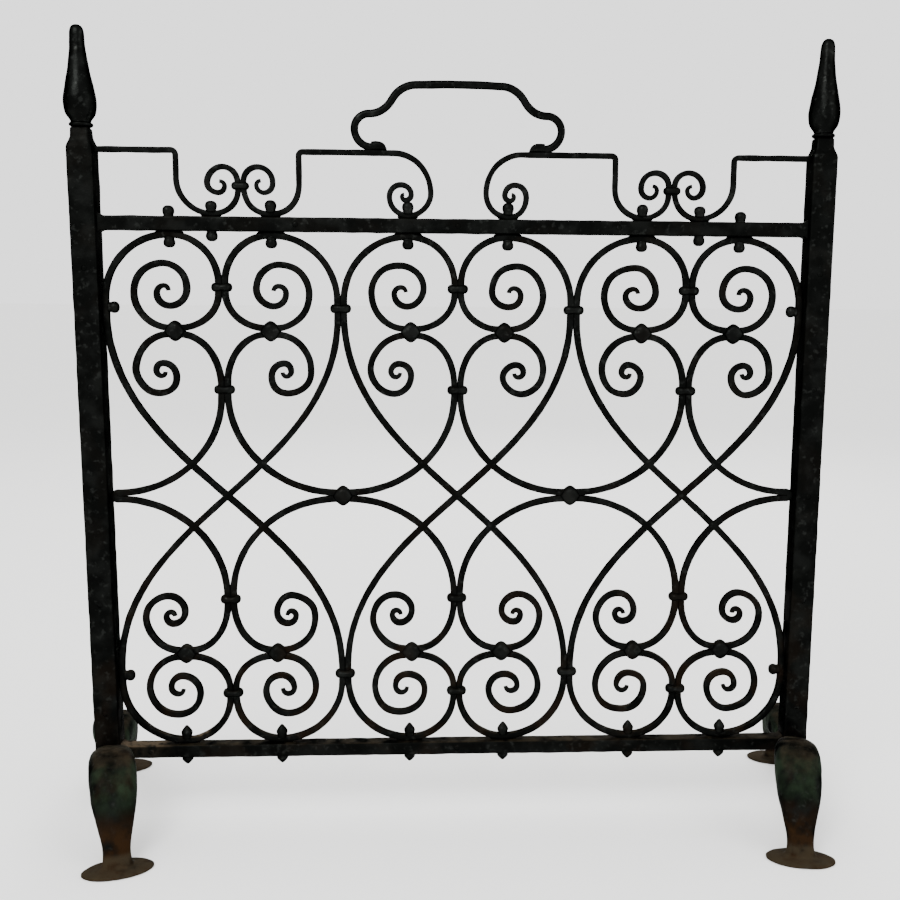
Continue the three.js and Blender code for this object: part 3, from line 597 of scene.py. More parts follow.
class Tree:
    """A Geometry Nodes tree, built node by node, with named inputs."""

    def __init__(self, name):
        self.group = bpy.data.node_groups.new(name, "GeometryNodeTree")
        self.group.is_modifier = True
        for way in ("INPUT", "OUTPUT"):
            self.group.interface.new_socket(
                "Geometry", in_out=way, socket_type="NodeSocketGeometry"
            )
        self.entry = self.group.nodes.new("NodeGroupInput")

    def value_in(self, name, kind, default=None):
        socket = self.group.interface.new_socket(name, in_out="INPUT", socket_type=kind)
        if default is not None:
            socket.default_value = default
        return self.entry.outputs[name]

    def node(self, kind, inputs=None, **settings):
        node = self.group.nodes.new(kind)
        for key, value in settings.items():
            setattr(node, key, value)
        for key, value in (inputs or {}).items():
            if isinstance(value, bpy.types.NodeSocket):
                self.group.links.new(value, node.inputs[key])
            else:
                node.inputs[key].default_value = value
        return node

    def math(self, operation, first, second):
        return self.node("ShaderNodeMath", {0: first, 1: second}, operation=operation).outputs[0]

    def given(self, label):
        """A value that every point carries with it."""
        node = self.node(
            "GeometryNodeInputNamedAttribute", {"Name": label}, data_type="FLOAT_VECTOR"
        )
        return node.outputs["Attribute"]

    def finish(self, geometry, material):
        realized = self.node("GeometryNodeRealizeInstances", {"Geometry": geometry})
        painted = self.node(
            "GeometryNodeSetMaterial", {"Geometry": realized.outputs[0], "Material": material}
        )
        leave = self.group.nodes.new("NodeGroupOutput")
        self.group.links.new(painted.outputs[0], leave.inputs[0])
        return self.group


def run_tree(source, group, values, name):
    """Gives an object a tree with its inputs set, and returns the plain mesh that results."""
    modifier = source.modifiers.new(name, "NODES")
    modifier.node_group = group
    for item in group.interface.items_tree:
        if item.item_type == "SOCKET" and item.in_out == "INPUT" and item.name in values:
            modifier[item.identifier] = values[item.name]
    source.update_tag()
    return evaluated(source, name)


def bar_tree():
    """Sweeps a square bar with worn corners along a curve, and thins it by the curve's radius."""
    name = "bar_on_a_path"
    if name in bpy.data.node_groups:
        return bpy.data.node_groups[name]
    tree = Tree(name)
    side = tree.value_in("Bar side", "NodeSocketFloat", BAR)
    corner = tree.value_in("Corner", "NodeSocketFloat", 1.1 * MM)
    material = tree.value_in("Material", "NodeSocketMaterial")
    square = tree.node("GeometryNodeCurvePrimitiveQuadrilateral", {"Width": side, "Height": side})
    soft = tree.node(
        "GeometryNodeFilletCurve", {"Curve": square.outputs[0], "Radius": corner}, mode="POLY"
    )
    soft.inputs["Count"].default_value = 3
    bar = tree.node("GeometryNodeCurveToMesh", {
        "Curve": tree.entry.outputs["Geometry"], "Profile Curve": soft.outputs[0],
        "Scale": tree.node("GeometryNodeInputRadius").outputs[0], "Fill Caps": True,
    })
    return tree.finish(bar.outputs[0], material)


def collar_tree():
    """Bends a bead round a pair of bars at every point, turned as the point says."""
    name = "collars_on_points"
    if name in bpy.data.node_groups:
        return bpy.data.node_groups[name]
    tree = Tree(name)
    wide = tree.value_in("Bars wide", "NodeSocketFloat", 2 * BAR)
    deep = tree.value_in("Bars deep", "NodeSocketFloat", BAR)
    wall = tree.value_in("Wall", "NodeSocketFloat", 3.5 * MM)
    length = tree.value_in("Length", "NodeSocketFloat", 8 * MM)
    spread = tree.value_in("Middle spread", "NodeSocketFloat", 0.0)
    facets = tree.value_in("Facets", "NodeSocketInt", 16)
    material = tree.value_in("Material", "NodeSocketMaterial")
    loop = tree.node("GeometryNodeCurvePrimitiveQuadrilateral", {"Width": wide, "Height": deep})
    bent = tree.node(
        "GeometryNodeFilletCurve",
        {"Curve": loop.outputs[0], "Radius": tree.math("MULTIPLY", deep, 0.42)}, mode="POLY",
    )
    bent.inputs["Count"].default_value = 6
    even = tree.node("GeometryNodeResampleCurve", {"Curve": bent.outputs[0]}, mode="COUNT")
    even.inputs["Count"].default_value = 44
    bead = tree.node("GeometryNodeCurvePrimitiveCircle", {"Resolution": facets, "Radius": wall})
    stretch = tree.node("ShaderNodeCombineXYZ", {
        "X": 1.0, "Y": tree.math("DIVIDE", tree.math("MULTIPLY", length, 0.5), wall), "Z": 1.0,
    })
    strap = tree.node("GeometryNodeTransform", {
        "Geometry": bead.outputs[0], "Scale": stretch.outputs[0],
    })
    ring = tree.node("GeometryNodeCurveToMesh", {
        "Curve": even.outputs[0], "Profile Curve": strap.outputs[0], "Fill Caps": False,
    })
    # Across the bars the strap is spread or drawn in, and at its ends it keeps its length.
    place = tree.node("ShaderNodeSeparateXYZ", {
        "Vector": tree.node("GeometryNodeInputPosition").outputs[0],
    })
    reach = tree.math("ADD", tree.math("MULTIPLY", wide, 0.5), wall)
    outward = tree.math("DIVIDE", tree.math("ABSOLUTE", place.outputs["X"], 0.0), reach)
    inward = tree.math("SUBTRACT", 1.0, outward)
    growth = tree.math("MULTIPLY", tree.math("MULTIPLY", inward, spread), place.outputs["Z"])
    shaped = tree.node("GeometryNodeSetPosition", {
        "Geometry": ring.outputs[0],
        "Offset": tree.node("ShaderNodeCombineXYZ", {"Z": growth}).outputs[0],
    })
    turned = tree.node("FunctionNodeEulerToRotation", {"Euler": tree.given("turn")})
    placed = tree.node("GeometryNodeInstanceOnPoints", {
        "Points": tree.entry.outputs["Geometry"], "Instance": shaped.outputs[0],
        "Rotation": turned.outputs[0],
    })
    return tree.finish(placed.outputs[0], material)


def shape_tree(name):
    """Puts another object's shape on every point, turned and sized as the point says."""
    if name in bpy.data.node_groups:
        return bpy.data.node_groups[name]
    tree = Tree(name)
    shape = tree.value_in("Shape", "NodeSocketObject")
    material = tree.value_in("Material", "NodeSocketMaterial")
    info = tree.node("GeometryNodeObjectInfo", {"Object": shape})
    turned = tree.node("FunctionNodeEulerToRotation", {"Euler": tree.given("turn")})
    placed = tree.node("GeometryNodeInstanceOnPoints", {
        "Points": tree.entry.outputs["Geometry"], "Instance": info.outputs["Geometry"],
        "Rotation": turned.outputs[0], "Scale": tree.given("size"),
    })
    return tree.finish(placed.outputs[0], material)


def points_object(name, places):
    """A cloud of points, each (place, turn, size), for a tree to put shapes on."""
    mesh = bpy.data.meshes.new(name)
    mesh.from_pydata([place for place, _, _ in places], [], [])
    for label, index in (("turn", 1), ("size", 2)):
        attribute = mesh.attributes.new(label, "FLOAT_VECTOR", "POINT")
        attribute.data.foreach_set("vector", [c for entry in places for c in entry[index]])
    return piece_of(name, mesh)


def forged_bar(name, points, base_z, side, slot, tips, seed):
    """One bar of the grille or cresting, drawn down at the tips and marked by the hammer.

    The stray of its free ends has no fixed seed: noise_vector answers differently each time
    Blender starts, so an eye moves by up to about 2 mm from one run to the next.
    """
    sizes = bpy.context.scene.screen_sizes
    curve = bpy.data.curves.new(name, "CURVE")
    curve.dimensions = "3D"
    spline = curve.splines.new("POLY")
    spline.points.add(len(points) - 1)
    for i, (x, h) in enumerate(points):
        ends = [d for d, tip in ((i, tips[0]), (len(points) - 1 - i, tips[1])) if tip]
        from_tip = min(ends) * BarPath.STEP
        ease = min(1.0, from_tip / TIP_LENGTH)
        loose = min(1.0, max(0.0, (FREE_END - from_tip) / FREE_EASE))
        stray = noise.noise_vector(Vector((x, seed * 0.37, h)) / STRAY_LENGTH)
        stray *= sizes.waver * loose
        spline.points[i].co = (x + stray.x, 0, base_z + h + stray.z, 1)
        spline.points[i].radius = sizes.tip_share + (1 - sizes.tip_share) * ease
    source = piece_of(name + "_axis", curve)
    wide = side * sizes.swell
    values = {"Bar side": wide, "Corner": 0.2 * wide, "Material": iron_for(slot)}
    piece = run_tree(source, bar_tree(), values, "forged_" + name)
    hammered(piece.data, sizes.hammer_depth, seed)
    return settle(piece, slot, name)


# ---- Skins over rings -----------------------------------------------------------------------


def section(middle, across, upward, half_across, half_up, squareness=2.0, count=32):
    """A ring of points round a bar: an ellipse at 2, and a square with worn corners above."""
    power = 2 / squareness
    ring = []
    for i in range(count):
        a = 2 * math.pi * (i + 0.5) / count
        c, s = math.cos(a), math.sin(a)
        u = math.copysign(abs(c) ** power, c) * half_across
        v = math.copysign(abs(s) ** power, s) * half_up
        ring.append(middle + across * u + upward * v)
    return ring


def skin(name, rings):
    """A closed skin over rings with as many points each, its ends closed by a point."""
    count = len(rings[0])
    points = [p for ring in rings for p in ring]
    faces = []
    for r in range(len(rings) - 1):
        for i in range(count):
            j = (i + 1) % count
            a, b = r * count, (r + 1) * count
            faces.append((a + i, a + j, b + j, b + i))
    for ring_start, ring in ((0, rings[0]), ((len(rings) - 1) * count, rings[-1])):
        points.append(sum(ring, Vector()) / count)
        tip = len(points) - 1
        faces += [(ring_start + i, ring_start + (i + 1) % count, tip) for i in range(count)]
    mesh = bpy.data.meshes.new(name)
    mesh.from_pydata(points, [], faces)
    work = bmesh.new()
    work.from_mesh(mesh)
    bmesh.ops.recalc_face_normals(work, faces=work.faces)
    work.to_mesh(mesh)
    work.free()
    return mesh


def interpolated(stations, count):
    """Rows of numbers eased between stations by a Catmull-Rom curve."""
    rows = []
    last = len(stations) - 1
    for k in range(count):
        t = k * last / (count - 1)
        i = min(int(t), last - 1)
        u = t - i
        p0, p1 = stations[max(i - 1, 0)], stations[i]
        p2, p3 = stations[i + 1], stations[min(i + 2, last)]
        rows.append([
            0.5 * (2 * b + (c - a) * u + (2 * a - 5 * b + 4 * c - d) * u * u
                   + (3 * b - a - 3 * c + d) * u**3)
            for a, b, c, d in zip(p0, p1, p2, p3)
        ])
    return rows


X_AXIS, Y_AXIS, Z_AXIS = Vector((1, 0, 0)), Vector((0, 1, 0)), Vector((0, 0, 1))


def spaced(low, high, step):
    count = max(2, math.ceil((high - low) / step))
    return [low + (high - low) * i / count for i in range(count + 1)]


# ---- Pieces ---------------------------------------------------------------------------------


# A post's neck: (height over the shoulder, how far it is drawn in), in mm.
NECK = ((0.5, 0.5), (4, 2.0), (8, 3.4))
NECK_TOP_IN = 3.8 * MM
WORN_EDGE = 1.2 * MM

# Where the hammer marks of each piece start in the noise.
POST_SEED, HANDLE_SEED, FINIAL_SEED, LEG_SEED, SCROLL_SEED = 3, 5, 7, 11, 30
RAIL_SEEDS = {"top_rail": 21, "bottom_rail": 22}
CREST_SEEDS = {LEFT: 50, RIGHT: 60}


def make_post(side):
    node = f"post_{SIDES[side]}"
    foot, neck_top = (corner.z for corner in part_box(node))
    shoulder = CREST_TOP_Z + CREST_BAR / 2
    half = POST_SIDE / 2
    outline = [(foot, half - WORN_EDGE), (foot + WORN_EDGE, half)]
    outline += [(z, half) for z in spaced(foot + 3 * MM, shoulder - 2 * MM, 5 * MM)]
    outline += [(shoulder + up * MM, half - drawn_in * MM) for up, drawn_in in NECK]
    outline += [(neck_top - WORN_EDGE, half - NECK_TOP_IN), (neck_top, half - NECK_TOP_IN - 1 * MM)]
    rings = []
    for z, reach in outline:
        middle = Vector((side * POST_X, 0, z))
        rings.append(section(middle, X_AXIS, Y_AXIS, reach, reach, squareness=9, count=40))
    mesh = skin(node, rings)
    hammered(mesh, bpy.context.scene.screen_sizes.hammer_depth * 1.3, POST_SEED + side)
    return settle(piece_of("forged_" + node, mesh), "frame_iron", node)


RAIL_FLARE = 2.4 * MM  # how far a rail spreads up and down where it meets a post
RAIL_FLARE_LENGTH = 6 * MM


def make_rail(node, z):
    reach = POST_FACE_X
    rings = []
    near_posts = [end * (reach - step * MM) for end in (LEFT, RIGHT) for step in (1, 2, 3, 4.5)]
    for x in sorted(spaced(-reach, reach, 5 * MM) + near_posts):
        middle = Vector((x, 0, z))
        near = max(0.0, 1 - (reach - abs(x)) / RAIL_FLARE_LENGTH) ** 2
        half_up = RAIL_HEIGHT / 2 + RAIL_FLARE * near
        rings.append(section(middle, Y_AXIS, Z_AXIS, RAIL_DEPTH / 2, half_up, 8, 36))
    mesh = skin(node, rings)
    hammered(mesh, bpy.context.scene.screen_sizes.hammer_depth * 1.2, RAIL_SEEDS[node])
    return settle(piece_of("forged_" + node, mesh), "frame_iron", node)


# A finial's outline: (height share, radius in mm), from the neck over the lip to the tip.
FINIAL_OUTLINE = (
    (0.0, 8.6), (0.015, 10.8), (0.035, 10.9), (0.05, 9.4), (0.075, 10.2), (0.13, 13.6),
    (0.20, 15.1), (0.28, 15.2), (0.40, 13.3), (0.52, 11.0), (0.64, 9.0), (0.76, 7.5),
    (0.86, 6.8), (0.93, 6.4), (0.975, 4.9), (0.995, 2.4),
)


def make_finial(side):
    node = f"finial_{SIDES[side]}"
    low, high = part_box(node)
    rings = []
    for share, radius in interpolated(FINIAL_OUTLINE, 64):
        middle = Vector((side * POST_X, 0, low.z + share * (high.z - low.z)))
        # The tip is left with faint flats where the taper was drawn out on the anvil.
        squareness = 2.0 + 0.9 * max(0.0, share - 0.55)
        reach = radius * MM
        rings.append(section(middle, X_AXIS, Y_AXIS, reach, reach, squareness, 40))
    mesh = skin(node, rings)
    hammered(mesh, bpy.context.scene.screen_sizes.hammer_depth * 0.9, FINIAL_SEED + side)
    return settle(piece_of("forged_" + node, mesh), "finial_iron", node)


# A leg from the post outward: (reach, height, slope in degrees, half thickness, half width), mm.
LEG_STATIONS = (
    (13.2, 72, 4, 10.0, 14.5), (26, 74.5, 8, 12.0, 18.0), (42, 75.5, 2, 15.5, 21.4),
    (58, 73.5, -12, 18.5, 22.6), (74, 65.5, -32, 18.5, 22.4), (89, 51, -52, 15.5, 20.6),
    (101, 34.5, -64, 11.0, 16.4), (110, 20, -70, 7.8, 13.2), (116, 9.5, -76, 6.4, 13.2),
    (119.5, 3.2, -86, 6.6, 15.5),
)
FOOT_HALF_WIDE = 34 * MM
FOOT_HALF_DEEP = 20 * MM
FOOT_THICK = 3.6 * MM
# A foot's rounded edge: (height in thicknesses, share of its size), from the floor up.
FOOT_OUTLINE = ((0, 0.97), (0.25, 1.0), (0.55, 0.985), (0.8, 0.86), (1.0, 0.55), (1.1, 0.3))
FUSED_GRAIN = 1.1 * MM
LEG_REACH = 121 * MM
FRONT_LEG_TURN = math.radians(15)
REAR_LEG_TURN = math.radians(11)
FRONT_TURN_MORE = math.radians(2.5)  # the left front leg is bent in further than the right


def make_leg(side, front):
    where = "front" if front else "rear"
    node = f"leg_{where}_{SIDES[side]}"
    rings = []
    for reach, height, slope, thick, wide in interpolated(LEG_STATIONS, 60):
        ahead = math.radians(slope)
        upward = Vector((0, -math.sin(ahead), math.cos(ahead)))
        middle = Vector((0, reach, height)) * MM
        rings.append(section(middle, X_AXIS, upward, wide * MM, thick * MM, 3.2, 44))
    shank = skin(node, rings)
    rings = []
    for lift, share in FOOT_OUTLINE:
        middle = Vector((0, LEG_REACH, lift * FOOT_THICK))
        wide, deep = share * FOOT_HALF_WIDE, share * FOOT_HALF_DEEP
        rings.append(section(middle, X_AXIS, Y_AXIS, wide, deep, 2, 60))
    sole = skin(node + "_sole", rings)

    work = bmesh.new()
    work.from_mesh(shank)
    work.from_mesh(sole)
    whole = bpy.data.meshes.new("forged_" + node)
    work.to_mesh(whole)
    work.free()
    source = piece_of(node + "_parts", whole)
    remesh = source.modifiers.new("Fused", "REMESH")
    remesh.mode = "VOXEL"
    remesh.voxel_size = FUSED_GRAIN
    smooth = source.modifiers.new("Smoothed", "CORRECTIVE_SMOOTH")
    smooth.iterations = 6
    smooth.use_only_smooth = True
    piece = evaluated(source, "forged_" + node)

    if front:
        angle = math.pi - side * (FRONT_LEG_TURN - side * FRONT_TURN_MORE)
    else:
        angle = -side * REAR_LEG_TURN
    at_post = Matrix.Translation((side * POST_X, 0, 0))
    piece.data.transform(at_post @ Matrix.Rotation(angle, 4, "Z"))
    seed = LEG_SEED + side + 4 * front
    hammered(piece.data, bpy.context.scene.screen_sizes.hammer_depth * 1.2, seed)
    for vertex in piece.data.vertices:
        vertex.co.z = max(0.0, vertex.co.z)
    return settle(piece, "leg_iron", node)


# Outlines of a stud: (height, radius) in head radii, from its seat to its crown.
KNOB_OUTLINE = (
    (-1.05, 0.92), (-0.84, 0.84), (-0.62, 0.86), (-0.36, 0.97), (-0.08, 1.0), (0.20, 0.95),
    (0.44, 0.82), (0.62, 0.60), (0.71, 0.34),
)
ACORN_OUTLINE = (
    (-1.05, 0.92), (-0.82, 0.84), (-0.6, 0.90), (-0.36, 1.0), (-0.1, 0.98), (0.2, 0.80),
    (0.5, 0.55), (0.78, 0.32), (0.9, 0.16),
)
SADDLE_OUTLINE = tuple(
    (math.sin(a), math.cos(a)) for a in (-1.45, -1.1, -0.8, -0.4, 0, 0.4, 0.8, 1.1, 1.45)
)
PIN_OUTLINE = ((-0.6, 1.0), (-0.1, 1.0), (0.12, 0.86), (0.26, 0.5), (0.32, 0.15))


def turned_shape(name, outline, count):
    rings = []
    for height, radius in outline:
        rings.append(section(Vector((0, 0, height)), X_AXIS, Y_AXIS, radius, radius, 2, count))
    return piece_of(name, skin(name, rings))


def scroll_top_xs():
    return [x + s * STUD_OFFSET for x in PAIR_CENTRES for s in (LEFT, RIGHT)]


RAIL_STUD_SUNK = 0.8 * MM  # how far a stud that sits on a bare rail is let into it
SCROLL_SADDLE = (14.5 * MM, 3.3 * MM, 3.7 * MM)
CREST_SADDLE = (10.5 * MM, 2.8 * MM, 3.0 * MM)
SCROLL_SADDLE_IN = 1.6 * MM
CREST_SADDLE_IN = 1.4 * MM
PIN_RADIUS = 2.9 * MM
POST_PIN_HEIGHTS = (225 * MM, 110 * MM, 0, -110 * MM, -225 * MM)
TOP_RAIL_PIN_XS = (-158 * MM, 0, 158 * MM)


def stud_places():
    """Every stud: (place, turn, size), the rounded knobs first and the pointed acorns after."""
    r = bpy.context.scene.screen_sizes.stud_radius
    knobs, acorns = [], []

    def rail_stud(places, x, rail_z, way, past, tall=1.0):
        z = rail_z + way * (RAIL_HEIGHT / 2 + past + tall * r)
        places.append(((x, 0, z), (0 if way > 0 else math.pi, 0, 0), (r, r, tall * r)))

    for x in scroll_top_xs():
        rail_stud(knobs, x, TOP_RAIL_Z, -1, BAR)
        rail_stud(acorns, x, BOTTOM_RAIL_Z, 1, BAR, 1.15)
        rail_stud(acorns, x, BOTTOM_RAIL_Z, -1, -RAIL_STUD_SUNK, 0.9)
    for x in (-CREST_LOOP_X, -STUD_OFFSET, STUD_OFFSET, CREST_LOOP_X):
        rail_stud(knobs, x, TOP_RAIL_Z, 1, CREST_BAR, 1.12)
    for x in (-CREST_BOWL_X, CREST_BOWL_X):
        rail_stud(knobs, x, TOP_RAIL_Z, 1, CREST_BAR)
        rail_stud(knobs, x, TOP_RAIL_Z, -1, -RAIL_STUD_SUNK, 1.05)
    for x in (scroll_top_xs()[0], scroll_top_xs()[-1]):
        rail_stud(knobs, x, TOP_RAIL_Z, 1, -RAIL_STUD_SUNK, 1.1)
    for side in (LEFT, RIGHT):
        for h in (SIDE_COLLAR_H, -SIDE_COLLAR_H):
            x = side * (POST_FACE_X - FIT - BAR - r)
            knobs.append(((x, 0, MID_Z + h), (0, -side * QUARTER, 0), (r, r, r)))
    return knobs, acorns


def saddle_places():
    """The flattened places where a bar is drawn up against a rail or post round its stud."""
    places = []
    from_middle = SCROLL_TOP + BAR / 2 - SCROLL_SADDLE_IN
    for x in scroll_top_xs():
        for z in (MID_Z + from_middle, MID_Z - from_middle):
            places.append(((x, 0, z), (0, 0, 0), SCROLL_SADDLE))
    for x in (-CREST_BOWL_X, -CREST_LOOP_X, -STUD_OFFSET, STUD_OFFSET, CREST_LOOP_X, CREST_BOWL_X):
        place = (x, 0, CREST_LOW_Z - CREST_BAR / 2 + CREST_SADDLE_IN)
        places.append((place, (0, 0, 0), CREST_SADDLE))
    return places


def pin_places():
    """Flush pins on the front and back faces of the posts and rails."""
    r = PIN_RADIUS
    places = []

    def both_faces(x, z, half_depth):
        places.append(((x, -half_depth, z), (QUARTER, 0, 0), (r, r, r)))
        places.append(((x, half_depth, z), (-QUARTER, 0, 0), (r, r, r)))

    for side in (LEFT, RIGHT):
        for h in POST_PIN_HEIGHTS:
            both_faces(side * POST_X, MID_Z + h, POST_SIDE / 2)
    for x in TOP_RAIL_PIN_XS:
        both_faces(x, TOP_RAIL_Z, RAIL_DEPTH / 2)
        both_faces(2 * x, BOTTOM_RAIL_Z, RAIL_DEPTH / 2)
    return places


def make_shapes(name, shape, places, slot):
    source = points_object(name + "_points", places)
    values = {"Shape": shape, "Material": iron_for(slot)}
    piece = run_tree(source, shape_tree(name + "_tree"), values, name)
    bpy.data.objects.remove(shape)
    return settle(piece, slot)


# Collars of each kind: (length along the bars, spread of the middle, facets of the bead).
UPRIGHT_COLLAR = (10 * MM, -0.3, 16)
STACKED_COLLAR = (7.6 * MM, 1.7, 14)
CREST_COLLAR = (8 * MM, -0.2, 16)


def make_collars(name, nodes, side, kind):
    """Collars of one kind, each where its frame node is and turned as that node lies."""
    length, spread, facets = kind
    sizes = bpy.context.scene.screen_sizes
    places = []
    for node in nodes:
        along_x = span(node).x < span(node).z
        places.append((tuple(centre(node)), (0, QUARTER if along_x else 0, 0), (1, 1, 1)))
    values = {
        "Bars wide": 2 * side + FIT, "Bars deep": side, "Wall": sizes.collar_wall * side / BAR,
        "Length": length, "Middle spread": spread, "Facets": facets,
        "Material": iron_for("collar_iron"),
    }
    piece = run_tree(points_object(name + "_points", places), collar_tree(), values, name)
    hammered(piece.data, sizes.hammer_depth * 0.7, facets)
    return settle(piece, "collar_iron", *nodes)


# The handle's shoe: (how far inward of the ear's foot, height of its top, half width), in mm.
SHOE = (
    (-1, 8.1, 4.0), (3, 8.5, 4.4), (7, 8.2, 4.8), (10, 7.1, 4.9), (12.3, 5.0, 4.5),
    (13.8, 1.8, 3.6),
)
EAR_TOP = 14.2 * MM
EAR_FOOT = 17.3 * MM
HANDLE_BEND = 25.5 * MM
HANDLE_BEND_TURN = math.radians(60)
HANDLE_CROWN = 2.6 * MM  # how far the grip is arched above its ends
CROWN_BELOW = 0.55  # share of the arch that lies below the frame's straight grip
EAR_TURN = 0.92 * QUARTER  # the ear's foot is left a little open, and the shoe closes it


def handle_rings(rod):
    """The handle's right half, from the middle of its grip to the tip of its flattened shoe."""
    half = rod / 2
    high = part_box("carry_handle")[1]
    foot_x = high.x - half - EAR_FOOT
    run = 2 * HANDLE_BEND * math.sin(HANDLE_BEND_TURN)
    path = BarPath(0, high.z - half, 0).line(foot_x + EAR_FOOT - EAR_TOP - run)
    path.arc(HANDLE_BEND, -HANDLE_BEND_TURN).arc(HANDLE_BEND, HANDLE_BEND_TURN)
    path.arc(EAR_TOP, -QUARTER).arc(EAR_FOOT, -EAR_TURN)
    grip_reach = foot_x - 10 * MM
    points = []
    for x, z in path.points:
        arch = max(0.0, math.cos(QUARTER * min(1.0, abs(x) / grip_reach)))
        points.append((x, z + HANDLE_CROWN * (arch - CROWN_BELOW)))
    seat = CREST_TOP_Z + CREST_BAR / 2
    rings = []
    for i, (x, z) in enumerate(points):
        before, after = points[max(i - 1, 0)], points[min(i + 1, len(points) - 1)]
        ahead = Vector((after[0] - before[0], 0, after[1] - before[1])).normalized()
        rings.append(section(Vector((x, 0, z)), Y_AXIS, ahead.cross(Y_AXIS), half, half, 2.2, 24))
    for along, top, wide in SHOE:
        upper = seat + top * MM
        middle = Vector((foot_x - along * MM, 0, (upper + seat) / 2))
        rings.append(section(middle, Y_AXIS, -Z_AXIS, wide * MM, (upper - seat) / 2, 2.8, 24))
    return rings


def make_handle():
    right = handle_rings(bpy.context.scene.screen_sizes.rod)
    left = [[Vector((-p.x, p.y, p.z)) for p in ring] for ring in right[:0:-1]]
    mesh = skin("carry_handle", left + right)
    hammered(mesh, bpy.context.scene.screen_sizes.hammer_depth * 0.8, HANDLE_SEED)
    return settle(piece_of("forged_carry_handle", mesh), "handle_iron", "carry_handle")


# ---- Stage ----------------------------------------------------------------------------------


def area_light(name, place, target, size, power):
    light = bpy.data.lights.new(name, "AREA")
    light.size = size
    light.energy = power
    lamp = bpy.data.objects.new(name, light)
    lamp.location = place
    lamp.rotation_euler = (Vector(target) - Vector(place)).to_track_quat("-Z", "Y").to_euler()
    bpy.context.scene.collection.objects.link(lamp)


FLOOR_REACH = 60
FLOOR_COLOUR = (0.94, 0.94, 0.93, 1)
STUDIO_STRENGTH = 1.9

# Soft lamps: (name, place, what it points at, size, watts), in metres.
LAMPS = (
    ("key", (-0.9, -1.9, 2.1), (0, 0, 0.4), 1.2, 55),
    ("fill", (1.9, -1.3, 1.2), (0, 0, 0.3), 1.6, 18),
    ("back", (0.4, 2.2, 2.0), (0, 0, 0.4), 1.6, 30),
)


def make_stage():
    mesh = bpy.data.meshes.new("floor")
    reach = FLOOR_REACH
    mesh.from_pydata(
        [(-reach, -reach, 0), (reach, -reach, 0), (reach, reach, 0), (-reach, reach, 0)],
        [], [(0, 1, 2, 3)],
    )
    floor = piece_of("floor", mesh)
    paint = bpy.data.materials.new("pale_floor")
    paint.use_nodes = True
    shader = paint.node_tree.nodes["Principled BSDF"]
    shader.inputs["Base Color"].default_value = FLOOR_COLOUR
    shader.inputs["Roughness"].default_value = 0.9
    mesh.materials.append(paint)

    world = bpy.data.worlds.new("soft_studio")
    world.use_nodes = True
    background = world.node_tree.nodes["Background"]
    background.inputs["Color"].default_value = (1, 1, 1, 1)
    background.inputs["Strength"].default_value = STUDIO_STRENGTH
    bpy.context.scene.world = world
    for lamp in LAMPS:
        area_light(*lamp)


CAMERA_PLACE = (-0.0264, -1.1048, 0.5408)
CAMERA_YAW = math.radians(2.889)
CAMERA_PITCH = math.radians(8.838)  # downward
CAMERA_ROLL = math.radians(0.433)


def make_camera():
    """A camera in front of the screen, a little above its middle and looking down on it."""
    yaw, pitch, roll = CAMERA_YAW, CAMERA_PITCH, CAMERA_ROLL
    ahead = Vector((
        math.sin(yaw) * math.cos(pitch), math.cos(yaw) * math.cos(pitch), -math.sin(pitch)
    ))
    right = Vector((math.cos(yaw), -math.sin(yaw), 0))
    upward = right.cross(ahead)
    right_rolled = math.cos(roll) * right + math.sin(roll) * upward
    upward_rolled = right_rolled.cross(ahead)
    lens = bpy.data.cameras.new("camera")
    lens.lens = 44
    lens.sensor_width = 36
    lens.shift_x, lens.shift_y = -0.04, 0.02
    camera = bpy.data.objects.new("camera", lens)
    turn = Matrix((right_rolled, upward_rolled, -ahead)).transposed()
    camera.matrix_world = Matrix.Translation(CAMERA_PLACE) @ turn.to_4x4()
    bpy.context.scene.collection.objects.link(camera)
    bpy.context.scene.camera = camera


# ---- Operators ------------------------------------------------------------------------------


class FIRESCREEN_OT_stage(bpy.types.Operator):
    """Make the floor, the soft light and the camera"""

    bl_idname = "fire_screen.stage"
    bl_label = "Stage"

    def execute(self, context):
        make_camera()
        make_stage()
        return {"FINISHED"}


class FIRESCREEN_OT_posts(bpy.types.Operator):
    """Forge the two square posts with their drawn necks"""

    bl_idname = "fire_screen.posts"
    bl_label = "Posts"

    def execute(self, context):
        for side in SIDES:
            make_post(side)
        return {"FINISHED"}


class FIRESCREEN_OT_finials(bpy.types.Operator):
    """Forge the flame finials on the posts"""

    bl_idname = "fire_screen.finials"
    bl_label = "Finials"

    def execute(self, context):
        for side in SIDES:
            make_finial(side)
        return {"FINISHED"}


class FIRESCREEN_OT_legs(bpy.types.Operator):
    """Forge the sprung legs with their oval feet"""

    bl_idname = "fire_screen.legs"
    bl_label = "Legs"

    def execute(self, context):
        for side in SIDES:
            make_leg(side, True)
            make_leg(side, False)
        return {"FINISHED"}


class FIRESCREEN_OT_rails(bpy.types.Operator):
    """Forge the top and bottom rails"""

    bl_idname = "fire_screen.rails"
    bl_label = "Rails"

    def execute(self, context):
        make_rail("top_rail", TOP_RAIL_Z)
        make_rail("bottom_rail", BOTTOM_RAIL_Z)
        return {"FINISHED"}


